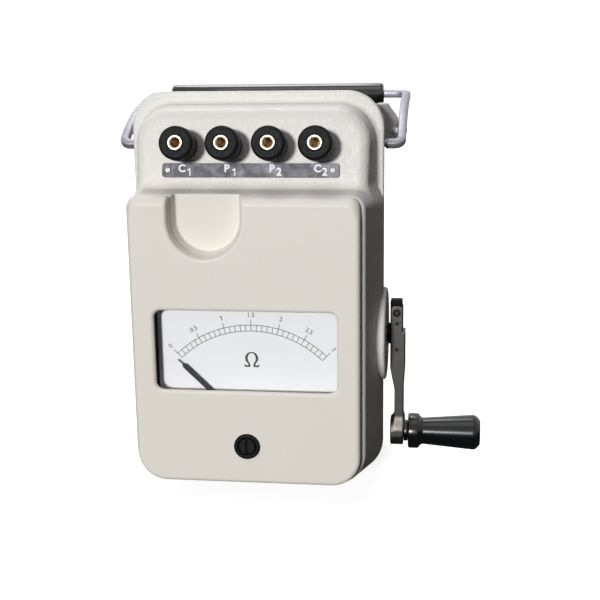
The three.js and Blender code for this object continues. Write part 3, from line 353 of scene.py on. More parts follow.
def soften(piece, width):
    """Rounds a piece's sharp edges and evens out its shading."""
    edge = piece.modifiers.new("edge", "BEVEL")
    edge.width = width * MM
    edge.segments = BEVEL_SEGMENTS
    edge.limit_method = "ANGLE"
    edge.angle_limit = BEVEL_ANGLE
    piece.modifiers.new("even", "WEIGHTED_NORMAL").keep_sharp = True
    piece.data.shade_smooth()
    apply_modifiers(piece)


def plates(name, outlines, low, high, looks, bevel=0.0):
    """One piece of prisms over (x, z) outlines, from one y to another, with softened edges."""
    build = bmesh.new()
    for outline in outlines:
        skin(build, [[build.verts.new(case_point(x, y, z)) for x, z in outline] for y in (low, high)])
    piece = link(name, finished(name, build))
    if bevel > 0:
        soften(piece, bevel)
    return dress(piece, *looks)


def rounded_loop(half_u, half_v, radius, centre_v=0):
    corners = [(-half_u, -half_v, radius), (half_u, -half_v, radius),
               (half_u, half_v, radius), (-half_u, half_v, radius)]
    return [(u, v + centre_v) for u, v in filleted(corners, closed=True)]


# Materials

SRGB_TOP = 255
SRGB_KNEE = 0.04045
SRGB_SLOPE = 12.92
SRGB_OFFSET = 0.055
SRGB_POWER = 2.4
NOISE_DETAIL = 3.0
NOISE_ROUGHNESS = 0.55
SHEEN_SPAN = (0.3, 0.7)


def srgb(*values):
    """A linear colour from the 0 to 255 values that a picture shows."""
    linear = []
    for value in values:
        share = value / SRGB_TOP
        curved = ((share + SRGB_OFFSET) / (1 + SRGB_OFFSET)) ** SRGB_POWER
        linear.append(share / SRGB_SLOPE if share <= SRGB_KNEE else curved)
    return (*linear, 1.0)


def feed(tree, socket, value):
    """Links an input to another node's output, or sets it to a value."""
    if isinstance(value, bpy.types.NodeSocket):
        tree.links.new(value, socket)
    else:
        socket.default_value = value


def add_node(tree, kind, inputs, output, **settings):
    """Adds a node by its settings and what feeds its inputs, and returns one of its outputs."""
    node = tree.nodes.new(kind)
    for name, value in settings.items():
        setattr(node, name, value)
    for socket, value in inputs.items():
        feed(tree, node.inputs[socket], value)
    return node.outputs[output]


class Paint:
    """A node material whose colour, roughness and relief vary with the place on the object."""

    def __init__(self, name, color, roughness, metallic=0.0, specular=0.5):
        self.material = bpy.data.materials.new(name)
        self.material.use_nodes = True
        self.tree = self.material.node_tree
        self.shader = self.tree.nodes["Principled BSDF"]
        self.color = color
        for socket, value in (("Base Color", color), ("Roughness", roughness), ("Metallic", metallic),
                              ("Specular IOR Level", specular)):
            self.set(socket, value)
        self.place = self.node("TexCoord", {}, "Object")
        self.normal = None

    def set(self, socket, value):
        feed(self.tree, self.shader.inputs[socket], value)

    def node(self, kind, inputs, output, **settings):
        return add_node(self.tree, "ShaderNode" + kind, inputs, output, **settings)

    def noise(self, per_mm, stretch=None):
        place = self.place
        if stretch is not None:
            place = self.node("Mapping", {"Vector": place, "Scale": stretch}, "Vector")
        return self.node("TexNoise", {"Vector": place, "Scale": per_mm / MM, "Detail": NOISE_DETAIL,
                                      "Roughness": NOISE_ROUGHNESS}, "Fac")

    def cells(self, per_mm):
        inputs = {"Vector": self.place, "Scale": per_mm / MM, "Smoothness": 1.0}
        return self.node("TexVoronoi", inputs, "Distance", feature="SMOOTH_F1")

    def ramp(self, value, low, high, first, last):
        inputs = {"Value": value, "From Min": low, "From Max": high, "To Min": first, "To Max": last}
        return self.node("MapRange", inputs, "Result", interpolation_type="SMOOTHSTEP")

    def along(self, axis):
        return self.node("SeparateXYZ", {"Vector": self.place}, axis)

    def joined(self, operation, a, b):
        return self.node("Math", {0: a, 1: b}, "Value", operation=operation)

    def tint(self, share, other):
        """Mixes another colour in by a share."""
        links = self.shader.inputs["Base Color"].links
        before = links[0].from_socket if links else self.color
        inputs = {"A": before, "B": other, "Factor": share}
        self.set("Base Color", self.node("Mix", inputs, "Result", data_type="RGBA"))

    def cloud(self, per_mm, low, high, share, other):
        """Mixes another colour in where a noise is high."""
        self.tint(self.ramp(self.noise(per_mm), low, high, 0.0, share), other)

    def sheen(self, per_mm, least, most, stretch=None):
        self.set("Roughness", self.ramp(self.noise(per_mm, stretch), *SHEEN_SPAN, least, most))

    def relief(self, height, strength, depth):
        inputs = {"Height": height, "Strength": strength, "Distance": depth * MM}
        if self.normal is not None:
            inputs["Normal"] = self.normal
        self.normal = self.node("Bump", inputs, "Normal")
        self.set("Normal", self.normal)

    def grain(self, per_mm, strength, depth, stretch=None):
        self.relief(self.noise(per_mm, stretch), strength, depth)


ENAMEL = srgb(225, 220, 212)
ENAMEL_WARM = srgb(221, 215, 204)
ENAMEL_COOL = srgb(221, 219, 215)
ENAMEL_ROUGHNESS = 0.42
ENAMEL_SPECULAR = 0.2
HAMMER_FADE = 8 * MM
HAMMER_REACH = 32 * MM
HAMMER_CELLS = 0.75
HAMMER_STRENGTHS = (0.12, 0.6)
HAMMER_DEPTH = 0.42

# Clouds are (noise per mm, low, high, share, colour), sheens (noise per mm, least and most roughness) and
# grains (noise per mm, strength, depth in mm)
ENAMEL_CLOUD = (0.012, 0.45, 0.7, 0.35, ENAMEL_WARM)
ENAMEL_SHEEN = (0.25, 0.38, 0.48)
ENAMEL_GRAIN = (1.6, 0.15, 0.06)
BLACK = srgb(12, 14, 15)
PLASTIC_CLOUD = (0.4, 0.45, 0.75, 0.7, srgb(20, 22, 23))
PLASTIC_SHEEN_NOISE = 0.9
PLASTIC_SHEEN_SHARES = (0.9, 1.15)
PLASTIC_GRAIN = (1.2, 0.06, 0.03)
METAL_CLOUD = (0.6, 0.5, 0.8, 0.6)
METAL_SHEEN = (1.1, -0.06, 0.12)
METAL_GRAIN = (2.2, 0.15, 0.04)
METAL_FAINT_GRAIN = (2.2, 0.05, 0.04)
WIRE_GRAIN = (2.2, 0.5, 0.04)
METAL_STRETCH = (1, 1, 6)
WIRE_STRETCH = (6, 1, 1)
SOFT_CLOUD = (0.5, 0.4, 0.7, 0.7)
SOFT_SHEEN = (1.2, -0.08, 0.06)
SOFT_GRAIN = (2.0, 0.2, 0.05)
SOFT_FAINT_GRAIN = (2.0, 0.05, 0.05)
SOFT_STRONG_GRAIN = (2.0, 0.4, 0.05)
SOFT_SPECULAR = 0.35
FLAT_SPECULAR = 0.3
INK_ROUGHNESS = 0.6
INK_SHEEN = (1.5, 0.5, 0.7)
# The label's lighter clouds are a painted sheen: reflections painted into the plate's colour. Its darker
# clouds are random tone.
LABEL_PAINTED_SHEEN_AND_TONE = ((0.07, 0.5, 0.66, 0.75, srgb(140, 139, 148)), (0.3, 0.55, 0.75, 0.5, srgb(74, 72, 82)))
LABEL_SHEEN = (0.4, 0.42, 0.6)
LABEL_GRAIN = (0.8, 0.06, 0.03)
DIAL_CLOUD = (0.05, 0.4, 0.7, 0.5, srgb(248, 249, 251))
DIAL_SHEEN = (0.5, 0.55, 0.68)
DIAL_GRAIN = (2.0, 0.05, 0.02)
BOW_CLOUDS = ((0.05, 0.4, 0.7, 0.8, srgb(150, 149, 158)), (0.6, 0.55, 0.8, 0.5, srgb(206, 205, 204)))
BOW_SHEEN = (0.6, 0.4, 0.55)
BOW_GRAIN = (1.0, 0.12, 0.05)
BOW_METALLIC = 0.45
GLASS_SHEEN = (0.1, 0.03, 0.06)
GLASS_ALPHA = 0.025


def enamel_paint():
    """Stoved enamel: smooth on the cover, lightly hammered on the terminal panel and the rim."""
    paint = Paint("enamel", ENAMEL, ENAMEL_ROUGHNESS, specular=ENAMEL_SPECULAR)
    shoulder = case_box("front_cover")[1][2] * MM
    above = paint.ramp(paint.along("Z"), shoulder - HAMMER_FADE, shoulder + HAMMER_FADE, 0.0, 1.0)
    front = case_box("front_body")[0][1] * MM + ORIGIN.y
    behind = paint.ramp(paint.along("Y"), front + HAMMER_FADE, front + HAMMER_REACH, 0.0, 1.0)
    upper = paint.joined("MAXIMUM", above, behind)
    paint.tint(upper, ENAMEL_COOL)
    paint.cloud(*ENAMEL_CLOUD)
    paint.sheen(*ENAMEL_SHEEN)
    paint.relief(paint.cells(HAMMER_CELLS), paint.ramp(upper, 0.0, 1.0, *HAMMER_STRENGTHS), HAMMER_DEPTH)
    paint.grain(*ENAMEL_GRAIN)
    return paint.material


def mottled(name, color, roughness, clouds, sheen, grain=None, metallic=0.0, specular=0.5, stretch=None):
    """A paint with clouds of other colours, and a sheen and a grain whose noise may be stretched."""
    paint = Paint(name, color, roughness, metallic, specular)
    for cloud in clouds:
        paint.cloud(*cloud)
    paint.sheen(*sheen, stretch)
    if grain is not None:
        paint.grain(*grain, stretch)
    return paint.material


def black_plastic(name, roughness, gloss, grain=None):
    sheen = (PLASTIC_SHEEN_NOISE, *(roughness * share for share in PLASTIC_SHEEN_SHARES))
    return mottled(name, BLACK, roughness, [PLASTIC_CLOUD], sheen, grain, specular=gloss)


def around(sheen, roughness):
    """A sheen whose roughness is given by its steps from a middle value."""
    per_mm, less, more = sheen
    return per_mm, roughness + less, roughness + more


def metal(name, color, dark, roughness, grain=METAL_GRAIN, stretch=METAL_STRETCH):
    """Metal with fine drawn lines and dull spots."""
    return mottled(name, color, roughness, [(*METAL_CLOUD, dark)], around(METAL_SHEEN, roughness), grain,
                   metallic=1.0, stretch=stretch)


def soft_paint(name, color, other, roughness, grain=SOFT_GRAIN):
    return mottled(name, color, roughness, [(*SOFT_CLOUD, other)], around(SOFT_SHEEN, roughness), grain,
                   specular=SOFT_SPECULAR)


def ink(name, color):
    return mottled(name, color, INK_ROUGHNESS, [], INK_SHEEN, specular=FLAT_SPECULAR)


def glass_paint():
    paint = Paint("window_glass", srgb(30, 34, 36), roughness=0.04, specular=1.0)
    paint.sheen(*GLASS_SHEEN)
    paint.set("Alpha", GLASS_ALPHA)
    return paint.material


PAINTS = {
    "enamel": enamel_paint(),
    "knob": black_plastic("knob_plastic", 0.55, 0.12, PLASTIC_GRAIN),
    "grip": black_plastic("grip_plastic", 0.2, 0.35),
    "sleeve": black_plastic("sleeve_plastic", 0.14, 0.55),
    "housing": black_plastic("housing_plastic", 0.6, 0.08, PLASTIC_GRAIN),
    "adjuster": black_plastic("adjuster_plastic", 0.5, 0.2, PLASTIC_GRAIN),
    "nickel": metal("nickel", srgb(208, 204, 196), srgb(180, 174, 162), 0.36),
    "brass": metal("brass", srgb(170, 146, 112), srgb(124, 100, 70), 0.4),
    "steel": metal("steel", srgb(88, 85, 82), srgb(70, 66, 63), 0.42),
    "dark_steel": metal("dark_steel", srgb(58, 54, 50), srgb(40, 37, 34), 0.5),
    "spindle": metal("spindle_steel", srgb(66, 64, 62), srgb(48, 46, 44), 0.3),
    "screw": metal("screw_steel", srgb(188, 186, 182), srgb(140, 136, 130), 0.34),
    "strip_screw": metal("strip_screw_steel", srgb(176, 174, 174), srgb(142, 140, 140), 0.58,
                         METAL_FAINT_GRAIN),
    "copper": metal("copper_wire", srgb(178, 96, 56), srgb(120, 56, 30), 0.4, WIRE_GRAIN, WIRE_STRETCH),
    "magnet": soft_paint("magnet_iron", srgb(84, 84, 88), srgb(64, 62, 62), 0.6),
    "board": soft_paint("board_laminate", srgb(140, 104, 58), srgb(120, 84, 42), 0.55),
    "rubber": soft_paint("rubber", srgb(34, 34, 34), srgb(46, 45, 44), 0.8, SOFT_STRONG_GRAIN),
    "needle": soft_paint("needle_paint", srgb(46, 45, 54), srgb(54, 53, 63), 0.6, SOFT_FAINT_GRAIN),
    "print": ink("dial_print", srgb(62, 62, 66)),
    "letters": ink("label_letters", srgb(244, 244, 246)),
    "omega": ink("dial_omega", srgb(70, 70, 76)),
    "label": mottled("label_plate", srgb(88, 87, 96), 0.5, LABEL_PAINTED_SHEEN_AND_TONE, LABEL_SHEEN, LABEL_GRAIN,
                     specular=FLAT_SPECULAR),
    "dial": mottled("dial_white", srgb(250, 251, 254), 0.6, [DIAL_CLOUD], DIAL_SHEEN, DIAL_GRAIN,
                    specular=FLAT_SPECULAR),
    "bow": mottled("bow_plating", srgb(134, 134, 142), 0.45, BOW_CLOUDS, BOW_SHEEN, BOW_GRAIN, BOW_METALLIC),
    "glass": glass_paint(),
}

# The paints of record slots that have another name than their paint
SLOT_PAINTS = {"black_plastic": "housing", "window": "glass"}


def dress(piece, paint, slot, body, *replaced):
    """Gives a piece its material and its body, and hides the CAD nodes that it stands for; the slot is not
    used.
    """
    piece.data.materials.clear()
    piece.data.materials.append(PAINTS[paint])
    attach(piece, body)
    if replaced:
        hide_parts(*replaced)
    return piece


def paint_cad_nodes():
    slots = {part["node"]: part["material_slot"] for part in frame["record"]["subparts"]}
    for name, piece in frame["nodes"].items():
        piece.data.materials.clear()
        piece.data.materials.append(PAINTS[SLOT_PAINTS.get(slots[name], slots[name])])


# Case: front body, cover and rear case

BODY_LOW, BODY_HIGH = case_box("front_body")
COVER_LOW, COVER_HIGH = case_box("front_cover")
REAR_LOW, REAR_HIGH = case_box("rear_case")
GLASS_LOW, GLASS_HIGH = case_box("window_glass")
HOUSING_LOW, HOUSING_HIGH = case_box("meter_housing")
BOSS_LOW, BOSS_HIGH = case_box("bearing_housing")

RIGHT = (1, 0, 0)
AHEAD = (0, -1, 0)
BACK = (0, 1, 0)
UP = (0, 0, 1)
FIT = 0.3
WALL = 2.6
RIM_HALF = BODY_HIGH[0]
RIM_TOP = BODY_HIGH[2]
BASE = BODY_LOW[2]
BODY_FRONT = BODY_LOW[1]
JOINT = BODY_HIGH[1]
JOINT_EDGE = 0.6
DRAFT_ANGLE = math.radians(9)
DRAFT = math.tan(DRAFT_ANGLE)
DRAFT_COSINE = math.cos(DRAFT_ANGLE)
RIM_THICKNESS = 3.7
RIM_FRONT = JOINT - RIM_THICKNESS
RIM_CORNER = 18
RIM_EDGE = 1.3
RIM_FILLET = 2.2
RIM_SIDE_FACE = 3.5
RIM_TOP_FACE = 5.7
LOWER_SKIRT = 1.4
LOWER_EDGE = 3.0
LOWER_CORNERS = (16, 6.1)
SHOULDER_TOP = COVER_HIGH[2] + 1.8
SHOULDER_CORNER = 12
SHOULDER_FILLET = 3.5
BLOCK_FRONT = 20
BLOCK_LOW = COVER_HIGH[2] - 41
BLOCK_LOW_CORNER = 5.5
BLOCK_CORNERS = (14, 18)
BLOCK_EDGE = 4.5
PANEL_LEAN = math.radians(10)
PANEL_Y = 26
PANEL_Z = COVER_HIGH[2] + 9.3
HOUSING_CORNER = 4
CRANK_Y, CRANK_Z = node_middle("bearing_housing")[1:]
BOSS_RADIUS = (BOSS_HIGH[2] - BOSS_LOW[2]) / 2


def lower_shape(x, y, z):
    """The drafted box under the cover, which widens back to the rim."""
    share = np.clip((y - BODY_FRONT) / (RIM_FRONT - BODY_FRONT), 0, 1)
    front_half = RIM_HALF - (RIM_FRONT - BODY_FRONT) * DRAFT
    outline = rounded_outline(
        x, z, between(front_half, RIM_HALF, share), between(COVER_LOW[2] - LOWER_SKIRT, BASE, share),
        between(COVER_HIGH[2], SHOULDER_TOP, share), between(LOWER_CORNERS[0], RIM_CORNER, share),
        between(LOWER_CORNERS[1], SHOULDER_CORNER, share))
    return both(outline * DRAFT_COSINE, BODY_FRONT - y, LOWER_EDGE)


def panel_front(y, z):
    """Distance ahead of the sloping terminal panel."""
    return (PANEL_Y + (z - PANEL_Z) * math.tan(PANEL_LEAN) - y) * math.cos(PANEL_LEAN)


def block_shape(x, y, z):
    """The drafted block that carries the terminal panel."""
    depth = np.clip(RIM_FRONT - y, 0, RIM_FRONT - BLOCK_FRONT)
    share = 1 - depth / (RIM_FRONT - BLOCK_FRONT)
    outline = rounded_outline(
        x, z, RIM_HALF - RIM_SIDE_FACE - depth * DRAFT, BLOCK_LOW, RIM_TOP - RIM_TOP_FACE - depth * DRAFT,
        BLOCK_LOW_CORNER, between(*BLOCK_CORNERS, share))
    return both(outline * DRAFT_COSINE, panel_front(y, z), BLOCK_EDGE)


def rim_shape(x, y, z):
    outline = rounded_outline(x, z, RIM_HALF, BASE, RIM_TOP, RIM_CORNER, RIM_CORNER)
    return both(outline, RIM_FRONT - y, RIM_EDGE)


def boss_space(x, y, z):
    return np.maximum(round_bar(y, z, CRANK_Y, CRANK_Z, BOSS_RADIUS + FIT), BOSS_LOW[0] - FIT - x)


COVER_CORNERS = (14, 5.5)
COVER_EDGE = 2.2
COVER_TOP_EDGE = 4.4
COVER_TOP_FADE = 12
WINDOW_INSET = 2.2
WINDOW_CORNER = 3.5
WINDOW_EDGE = 1.8
SCOOP_X = -17.9
SCOOP_RADIUS = 17.5
SCOOP_DEPTH = 28.9
SCOOP_SLOPE = 0.2
SCOOP_FLOOR = 11
SCOOP_FLOOR_EDGE = 0.9
SCOOP_COVER_EDGE = 1.1
SCOOP_BODY_EDGE = 0.4
ADJUSTER_HOLE = 5.3
ADJUSTER_HOLE_EDGE = 0.3


def scoop_shape(x, y, z):
    """The thumb scoop: a half round, open at the top, that narrows towards its floor."""
    centre = COVER_HIGH[2] - SCOOP_DEPTH + SCOOP_RADIUS
    return np.hypot(x - SCOOP_X, np.minimum(z - centre, 0)) - SCOOP_RADIUS + SCOOP_SLOPE * y


def body_shape(x, y, z):
    lower, block, rim = lower_shape(x, y, z), block_shape(x, y, z), rim_shape(x, y, z)
    outer = np.minimum(either(block, lower, SHOULDER_FILLET), either(block, rim, RIM_FILLET))
    outer = both(outer, y - JOINT, JOINT_EDGE)
    cavity = np.maximum(np.minimum(lower, block) + WALL, BODY_FRONT + WALL - y)
    scoop = both(scoop_shape(x, y, z), y - SCOOP_FLOOR, SCOOP_FLOOR_EDGE)
    shell = without(without(outer, scoop, SCOOP_BODY_EDGE), np.maximum(cavity, WALL - scoop))
    meter = rounded_outline(x, z, HOUSING_HIGH[0] + FIT, HOUSING_LOW[2] - FIT, HOUSING_HIGH[2] + FIT,
                            HOUSING_CORNER, HOUSING_CORNER)
    shell = without(shell, np.maximum(meter, y - RIM_FRONT))
    return without(shell, boss_space(x, y, z))


def window_shape(x, z, inset):
    return rounded_outline(x, z, GLASS_HIGH[0] - inset, GLASS_LOW[2] + inset, GLASS_HIGH[2] - inset,
                           WINDOW_CORNER, WINDOW_CORNER)


def cover_shape(x, y, z):
    outline = rounded_outline(x, z, COVER_HIGH[0], COVER_LOW[2], COVER_HIGH[2], *COVER_CORNERS)
    share = np.clip((z - COVER_HIGH[2] + COVER_TOP_FADE) / (COVER_TOP_FADE - COVER_TOP_EDGE), 0, 1)
    slab = both(outline, -y, between(COVER_EDGE, COVER_TOP_EDGE, share * share * (3 - 2 * share)))
    slab = without(slab, window_shape(x, z, WINDOW_INSET), WINDOW_EDGE)
    slab = without(slab, np.maximum(window_shape(x, z, -FIT), GLASS_LOW[1] - FIT - y))
    hole = round_bar(x, z, 0, node_middle("zero_adjuster")[2], ADJUSTER_HOLE)
    slab = without(slab, hole, ADJUSTER_HOLE_EDGE)
    slab = without(slab, scoop_shape(x, y, z), SCOOP_COVER_EDGE)
    return np.maximum(slab, y - BODY_FRONT + FIT)


SCREW_HEAD = 2.0
REAR_BACK = case_box("case_screw_upper_right")[1][1] - SCREW_HEAD - FIT
REAR_WALL = 3
REAR_EDGE = 3
REAR_CORNER = 10
REAR_NARROWING = 5.2
REAR_TOP_DROP = 6.2
PIN_HOLE_RADIUS = 2.3
PIN_HOLE_DEPTH = 14
SCREW_HOLE_RADIUS = 2.1

# The carrying handle's side arm: the strip, its pivot and the point that bows it, as (y, z)
HANDLE_HALF = case_box("handle_frame")[1][0]
STRIP_THICKNESS = 4.4
STRIP_WIDTH = 4.0
PIVOT = (57, RIM_TOP - 26.2)
BOW = (80, RIM_TOP - 8.5)
GRIP_AXIS = tuple(node_middle("handle_grip")[1:])

EAR_ROOT = 57
EAR_SLOPE = 1.6
EAR_RISE = -1.6
EAR_TOP_DROP = 7.5
EAR_TOP_STEEPNESS = 0.6
EAR_CUT_WIDTH = 10
EAR_CUT_DROP = 7.5
EAR_BACK = 2
EAR_EDGE = 0.7
EAR_FILLET = 1.5
STOP_SHARE = 0.27
STOP_RADIUS = 1.5
STOP_INSET = 8
STOP_EDGE = 0.5
STOP_FILLET = 0.8


def handle_curve(share):
    """A point of the handle's side arm, as (y, z), and the arm's direction there."""
    start, middle, end = Vector(PIVOT), Vector(BOW), Vector(GRIP_AXIS)
    point = start * (1 - share) ** 2 + middle * 2 * share * (1 - share) + end * share ** 2
    direction = ((middle - start) * (1 - share) + (end - middle) * share).normalized()
    return point, direction


def ear_shape(x, y, z):
    """The cast ears beside the handle's pivots: a wedge on each side, with a cut corner."""
    outer = HANDLE_HALF - STRIP_THICKNESS - FIT
    front = PIVOT[0] + math.hypot(STRIP_THICKNESS, STRIP_WIDTH) / 2 + FIT
    side = np.abs(x)
    cut_start = HANDLE_HALF - EAR_CUT_WIDTH
    cut = np.maximum(side - cut_start, 0) * EAR_CUT_DROP / (outer - cut_start)
    above = (z - RIM_TOP + EAR_TOP_DROP + cut) * EAR_TOP_STEEPNESS
    slab = np.maximum(side - outer, EAR_ROOT - side)
    slab = both(slab, np.maximum(PIVOT[1] + EAR_RISE - z, above), EAR_EDGE)
    ahead = (front + np.maximum(side - EAR_ROOT, 0) * EAR_SLOPE - y) * math.cos(math.atan(EAR_SLOPE))
    behind = y - front - (outer - EAR_ROOT) * EAR_SLOPE - EAR_BACK
    return both(slab, np.maximum(ahead, behind), EAR_EDGE)


def stop_shape(x, y, z):
    """The bars on both sides that the handle leans on at rest."""
    point, direction = handle_curve(STOP_SHARE)
    offset = STRIP_WIDTH / 2 + FIT + STOP_RADIUS
    bar = round_bar(y, z, point.x + direction.y * offset, point.y - direction.x * offset, STOP_RADIUS)
    return both(bar, np.maximum(np.abs(x) - HANDLE_HALF, RIM_HALF - STOP_INSET - np.abs(x)), STOP_EDGE)


def rear_shape(x, y, z):
    share = np.clip((y - REAR_LOW[1]) / (REAR_BACK - REAR_LOW[1]), 0, 1)
    corner = between(RIM_CORNER, REAR_CORNER, share)
    outline = rounded_outline(x, z, RIM_HALF - FIT - REAR_NARROWING * share, BASE,
                              RIM_TOP - FIT - REAR_TOP_DROP * share, corner, corner)
    outer = both(both(outline, y - REAR_BACK, REAR_EDGE), REAR_LOW[1] - y, JOINT_EDGE)
    outer = either(outer, ear_shape(x, y, z), EAR_FILLET)
    outer = either(outer, stop_shape(x, y, z), STOP_FILLET)
    shell = without(outer, np.maximum(outline + WALL, y - REAR_BACK + REAR_WALL))
    pin_hole = round_bar(y, z, *PIVOT, PIN_HOLE_RADIUS)
    shell = without(shell, np.maximum(pin_hole, RIM_HALF - PIN_HOLE_DEPTH - np.abs(x)))
    for place in CASE_SCREW_SPINS:
        middle = node_middle("case_screw_" + place)
        shell = without(shell, round_bar(x, z, middle[0], middle[2], SCREW_HOLE_RADIUS))
    return without(shell, boss_space(x, y, z))


# Steps of the casting grids in millimetres, and the shares of their faces that are kept
CASE_STEP = 0.8
COVER_STEP_SHARE = 0.75
FRONT_KEEP_SHARE = 0.3
REAR_KEEP_SHARE = 0.25
BOSS_BORE = 4.3
BOSS_RECESS = 0.8
BOSS_RECESS_RADIUS = 8.0
BOSS_LIP_RADIUS = 8.5
BOSS_EDGES = (0.4, 1.6, 0.5)
BOSS_SEGMENTS = 160


def build_case():
    step = CASE_STEP
    enamel = ("enamel", "enamel", "case")
    casting("body_casting", body_shape, BODY_LOW, BODY_HIGH, step, FRONT_KEEP_SHARE, (*enamel, "front_body"))
    casting("cover_casting", cover_shape, COVER_LOW, COVER_HIGH, COVER_STEP_SHARE * step, FRONT_KEEP_SHARE,
            (*enamel, "front_cover"))
    casting("rear_casting", rear_shape, REAR_LOW, REAR_HIGH, step, REAR_KEEP_SHARE, (*enamel, "rear_case"))
    length = BOSS_HIGH[0] - BOSS_LOW[0]
    root_edge, face_edge, lip_edge = BOSS_EDGES
    profile = [(BOSS_BORE, 0, 0), (BOSS_RADIUS, 0, root_edge), (BOSS_RADIUS, length, face_edge),
               (BOSS_LIP_RADIUS, length, lip_edge), (BOSS_RECESS_RADIUS, length - BOSS_RECESS, root_edge),
               (BOSS_BORE, length - BOSS_RECESS, 0)]
    turned("crank_boss", profile, (BOSS_LOW[0], CRANK_Y, CRANK_Z), RIGHT, BOSS_SEGMENTS,
           (*enamel, "bearing_housing"))


def slotted_head(radius, height, slot_width, slot_depth, shank_radius, shank_length, edge):
    """A screw along +Z with its head's underside at zero."""
    def shape(x, y, z):
        aside = np.hypot(x, y)
        head = both(np.maximum(aside - radius, -z), z - height, edge)
        slot = np.maximum(np.abs(x) - slot_width / 2, height - slot_depth - z)
        shank = np.maximum(aside - shank_radius, np.maximum(z, -shank_length - z))
        return np.minimum(without(head, slot), shank)
    return shape


SCREW_KEEP_SHARE = 0.6


def screw(name, at, direction, spin, sizes, step, body, node, paint="screw"):
    """A screw from the sizes of a slotted head."""
    radius, height, _, _, _, shank_length, _ = sizes
    place = Matrix.Translation(at) @ axis_turn(direction) @ Matrix.Rotation(math.radians(spin), 4, "Z")
    return casting(name, slotted_head(*sizes), (-radius, -radius, -shank_length), (radius, radius, height),
                   step, SCREW_KEEP_SHARE, (paint, "steel", body, node), place)


CASE_SCREW_SPINS = {"lower_left": 20, "lower_right": -65, "upper_left": 75, "upper_right": 5}
CASE_SCREW_STEP = 0.4
SCREW_SLOT = (1.0, 1.1)
SCREW_EDGE = 0.7
FOOT_RADIUS = 6
FOOT_TAPER = 0.6
FOOT_EDGE = 0.6
FOOT_DIMPLE = 2.2
FOOT_DIMPLE_FLOOR = 1.6
FOOT_DIMPLE_DEPTH = 0.4
FOOT_SEGMENTS = 64


def build_case_screws():
    for place, spin in CASE_SCREW_SPINS.items():
        node = "case_screw_" + place
        low, high = case_box(node)
        radius = (high[2] - low[2]) / 2
        sizes = (radius, SCREW_HEAD, *SCREW_SLOT, radius / 2, high[1] - low[1] - SCREW_HEAD, SCREW_EDGE)
        at = ((low[0] + high[0]) / 2, high[1] - SCREW_HEAD, (low[2] + high[2]) / 2)
        screw("screw_" + place, at, BACK, spin, sizes, CASE_SCREW_STEP, "case", node)


def build_feet():
    for place in ("front_left", "front_right", "rear_left", "rear_right"):
        height = case_box("foot_" + place)[1][2]
        x, y, _ = node_middle("foot_" + place)
        profile = [(0, FOOT_DIMPLE_DEPTH, 0), (FOOT_DIMPLE_FLOOR, FOOT_DIMPLE_DEPTH, 0), (FOOT_DIMPLE, 0, 0),
                   (FOOT_RADIUS - FOOT_TAPER, 0, FOOT_EDGE), (FOOT_RADIUS, height, 0), (0, height, 0)]
        turned("rubber_" + place, profile, (x, y, 0), UP, FOOT_SEGMENTS,
               ("rubber", "rubber", "case", "foot_" + place))


# Meter: glass, printed dial and needle

PRINT_THICKNESS = 0.03
DIAL_FRONT = case_box("dial_plate")[0][1]
DIAL_X, _, DIAL_Z = node_middle("movement_plate")
ARC_OUTER = 51.3
ARC_INNER = 48.4
ARC_HALF = math.radians(44.3)
ARC_BOXES = 30
ARC_MAJOR = 5
ARC_STEPS = 4
LINE_HALF = 0.14
TICK_LENGTH = 2.5
NUMBERS = ("0", "0.5", "1", "1.5", "2", "2.5", "3")
NUMBER_SIZE = 3.15
NUMBER_RADIUS = ARC_OUTER + TICK_LENGTH + 2.35
LETTER_RESOLUTION = 6

# Corners of the digit one, as shares of its letter size
ONE_SHARES = ((0.04, -0.36), (0.15, -0.36), (0.15, 0.36), (0.06, 0.36), (-0.14, 0.24), (-0.14, 0.12),
              (0.04, 0.2))

# The ohm sign's right half: its foot, then two bowls, each by its first and last angle in degrees, its half
# width and height and its middle
OMEGA_Z = 68.8
OMEGA_STEPS = 16
OMEGA_FOOT = ((0.75, 0), (3.45, 0), (3.6, 1.5), (3.3, 1.5), (2.95, 0.85), (1.7, 0.8))
OMEGA_FOOT_TOP = (0.75, 0.9)
OMEGA_OUTER_BOWL = (-52, 90, 3.15, 3.1, 4.35)
OMEGA_INNER_BOWL = (90, -56, 1.95, 2.6, 4.3)

NEEDLE_ANGLE = math.radians(46)
NEEDLE_LENGTH = 49.3
NEEDLE_BLADE = 46.2
NEEDLE_SHOULDER = 1.3
NEEDLE_HALF = 1.15
NEEDLE_TIP_HALF = 0.25
NEEDLE_TAIL = 9
NEEDLE_BEVEL = 0.12
GLASS_BEVEL = 0.2


def scale_angle(share):
    return between(-ARC_HALF, ARC_HALF, share)


def dial_point(radius, angle):
    """A point of the dial, the angle measured rightward from straight up."""
    return DIAL_X + radius * math.sin(angle), DIAL_Z + radius * math.cos(angle)


def arc_line(radius):
    steps = ARC_BOXES * ARC_STEPS
    angles = [scale_angle(i / steps) for i in range(steps + 1)]
    inner, outer = radius - LINE_HALF, radius + LINE_HALF
    return [[dial_point(inner, a), dial_point(inner, b), dial_point(outer, b), dial_point(outer, a)]
            for a, b in zip(angles, angles[1:])]


def spoke(angle, inner, outer):
    across = (math.cos(angle) * LINE_HALF, -math.sin(angle) * LINE_HALF)
    (x0, z0), (x1, z1) = dial_point(inner, angle), dial_point(outer, angle)
    return [(x0 - across[0], z0 - across[1]), (x0 + across[0], z0 + across[1]),
            (x1 + across[0], z1 + across[1]), (x1 - across[0], z1 - across[1])]


def dial_lines():
    outlines = arc_line(ARC_OUTER) + arc_line(ARC_INNER)
    for i in range(ARC_BOXES + 1):
        reach = TICK_LENGTH if i % ARC_MAJOR == 0 else 0
        outlines.append(spoke(scale_angle(i / ARC_BOXES), ARC_INNER, ARC_OUTER + reach))
    return outlines


def bowl(start, end, half_width, half_height, middle):
    angles = [math.radians(between(start, end, i / OMEGA_STEPS)) for i in range(OMEGA_STEPS + 1)]
    return [(half_width * math.cos(a), middle + half_height * math.sin(a)) for a in angles]


